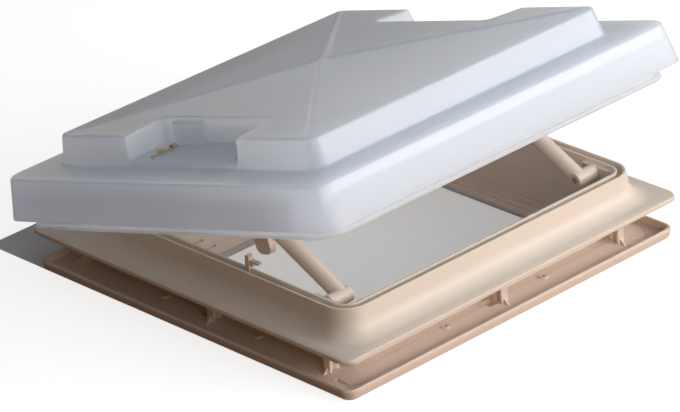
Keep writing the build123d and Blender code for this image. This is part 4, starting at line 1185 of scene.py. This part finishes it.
def stage_world(studio):
    """Sky that is pale blue overhead and dim and warm low down, and white to the camera."""
    world = bpy.data.worlds.new("Studio")
    bpy.context.scene.world = world
    world.use_nodes = True
    nodes, links = world.node_tree.nodes, world.node_tree.links
    nodes.clear()
    out = nodes.new("ShaderNodeOutputWorld")
    coordinate = nodes.new("ShaderNodeTexCoord")
    split = nodes.new("ShaderNodeSeparateXYZ")
    links.new(coordinate.outputs["Generated"], split.inputs[0])
    ramp = nodes.new("ShaderNodeValToRGB")
    ramp.color_ramp.elements[0].position = 0.0
    ramp.color_ramp.elements[0].color = (0.14, 0.07, 0.03, 1)
    ramp.color_ramp.elements[1].position = 0.9
    ramp.color_ramp.elements[1].color = (0.86, 0.90, 1.0, 1)
    middle = ramp.color_ramp.elements.new(0.35)
    middle.color = (0.52, 0.42, 0.32, 1)
    links.new(split.outputs["Z"], ramp.inputs["Fac"])
    sky = nodes.new("ShaderNodeBackground")
    sky.inputs["Strength"].default_value = studio.fill
    links.new(ramp.outputs["Color"], sky.inputs["Color"])
    white = nodes.new("ShaderNodeBackground")
    white.inputs["Color"].default_value = (1, 1, 1, 1)
    white.inputs["Strength"].default_value = 1.0
    mix = nodes.new("ShaderNodeMixShader")
    links.new(seen_directly(nodes, links), mix.inputs["Fac"])
    links.new(sky.outputs[0], mix.inputs[1])
    links.new(white.outputs[0], mix.inputs[2])
    links.new(mix.outputs[0], out.inputs["Surface"])


def area_lamp(name, place, target, width, height, power, colour):
    """Rectangular lamp that faces a point."""
    data = bpy.data.lights.new(name, "AREA")
    data.shape = "RECTANGLE"
    data.size = width
    data.size_y = height
    data.energy = power
    data.color = colour
    lamp = bpy.data.objects.new(name, data)
    bpy.context.scene.collection.objects.link(lamp)
    lamp.location = place
    lamp.rotation_euler = (Vector(target) - Vector(place)).to_track_quat("-Z", "Y").to_euler()
    return lamp


class HATCH_OT_studio(bpy.types.Operator):
    """Set the floor, the lamps, the sky and the camera"""

    bl_idname = "hatch.studio"
    bl_label = "Studio"

    def execute(self, context):
        studio = context.scene.hatch_studio
        stage_floor(studio)
        stage_world(studio)
        a, e, r = studio.azimuth, studio.elevation, studio.roll
        back = Vector((math.sin(a) * math.cos(e), -math.cos(a) * math.cos(e), math.sin(e)))
        right = Vector((math.cos(a), math.sin(a), 0.0))
        up = back.cross(right)
        away = Vector((back.x, back.y, 0)).normalized()
        # Name, degrees round from the camera to the right, degrees up, width, height, power, colour.
        lamps = (
            ("window_key", 84.0, 19.0, 1.8, 0.94, studio.key, (1.0, 1.0, 1.0)),
            ("window_front", 36.0, 15.0, 1.8, 0.94, studio.front, (1.0, 0.95, 0.91)),
            ("window_high", 90.0, 55.0, 1.8, 0.94, studio.high, (0.45, 0.80, 1.0)),
            ("low_back", 180.0, 9.0, 1.8, 0.70, studio.back, (1.0, 0.85, 0.65)),
        )
        for name, round_by, height, width, depth, power, colour in lamps:
            z, h = math.radians(round_by), math.radians(height)
            level = (right * math.sin(z) + away * math.cos(z)) * math.cos(h)
            place = (level + Vector((0, 0, math.sin(h)))) * LAMP_DISTANCE
            area_lamp(name, place, (0, 0, 0.02), width, depth, power, colour)
        camera_data = bpy.data.cameras.new("photo_camera")
        camera_data.lens = studio.lens
        camera_data.sensor_width = 36.0
        camera_data.clip_end = 50.0
        camera = bpy.data.objects.new("photo_camera", camera_data)
        bpy.context.scene.collection.objects.link(camera)
        place = right * studio.slide[0] + up * studio.slide[1] + back * studio.distance
        side = right * math.cos(r) + up * math.sin(r)
        top = up * math.cos(r) - right * math.sin(r)
        turn = Matrix((side, top, back)).transposed().to_4x4()
        camera.matrix_world = Matrix.Translation(place) @ turn
        context.scene.camera = camera
        context.scene.view_settings.view_transform = "Standard"
        return {"FINISHED"}


class HATCH_PT_sidebar(bpy.types.Panel):
    """Lists the hatch's pieces and settings"""

    bl_label = "Roof Hatch"
    bl_idname = "HATCH_PT_sidebar"
    bl_space_type = "VIEW_3D"
    bl_region_type = "UI"
    bl_category = "Roof Hatch"

    def draw(self, context):
        layout = self.layout
        for operator in OPERATORS:
            layout.operator(operator.bl_idname)
        for group in (context.scene.hatch_sizes, context.scene.hatch_colours, context.scene.hatch_studio):
            box = layout.box()
            for key in group.__annotations__:
                box.prop(group, key)


OPERATORS = (
    HATCH_OT_finishes,
    HATCH_OT_outer_dome,
    HATCH_OT_inner_dome,
    HATCH_OT_roof_frame,
    HATCH_OT_fly_net,
    HATCH_OT_node_finishes,
    HATCH_OT_studio,
)
GROUPS = (HatchSizes, HatchColours, HatchStudio)


def register():
    for item in GROUPS + OPERATORS + (HATCH_PT_sidebar,):
        bpy.utils.register_class(item)
    bpy.types.Scene.hatch_sizes = bpy.props.PointerProperty(type=HatchSizes)
    bpy.types.Scene.hatch_colours = bpy.props.PointerProperty(type=HatchColours)
    bpy.types.Scene.hatch_studio = bpy.props.PointerProperty(type=HatchStudio)


def unregister():
    del bpy.types.Scene.hatch_sizes
    del bpy.types.Scene.hatch_colours
    del bpy.types.Scene.hatch_studio
    for item in reversed(GROUPS + OPERATORS + (HATCH_PT_sidebar,)):
        bpy.utils.unregister_class(item)


def main():
    register()
    bpy.ops.hatch.finishes()
    bpy.ops.hatch.outer_dome()
    bpy.ops.hatch.inner_dome()
    bpy.ops.hatch.roof_frame()
    bpy.ops.hatch.fly_net()
    bpy.ops.hatch.node_finishes()
    bpy.ops.hatch.studio()


if __name__ == "__main__":
    main()
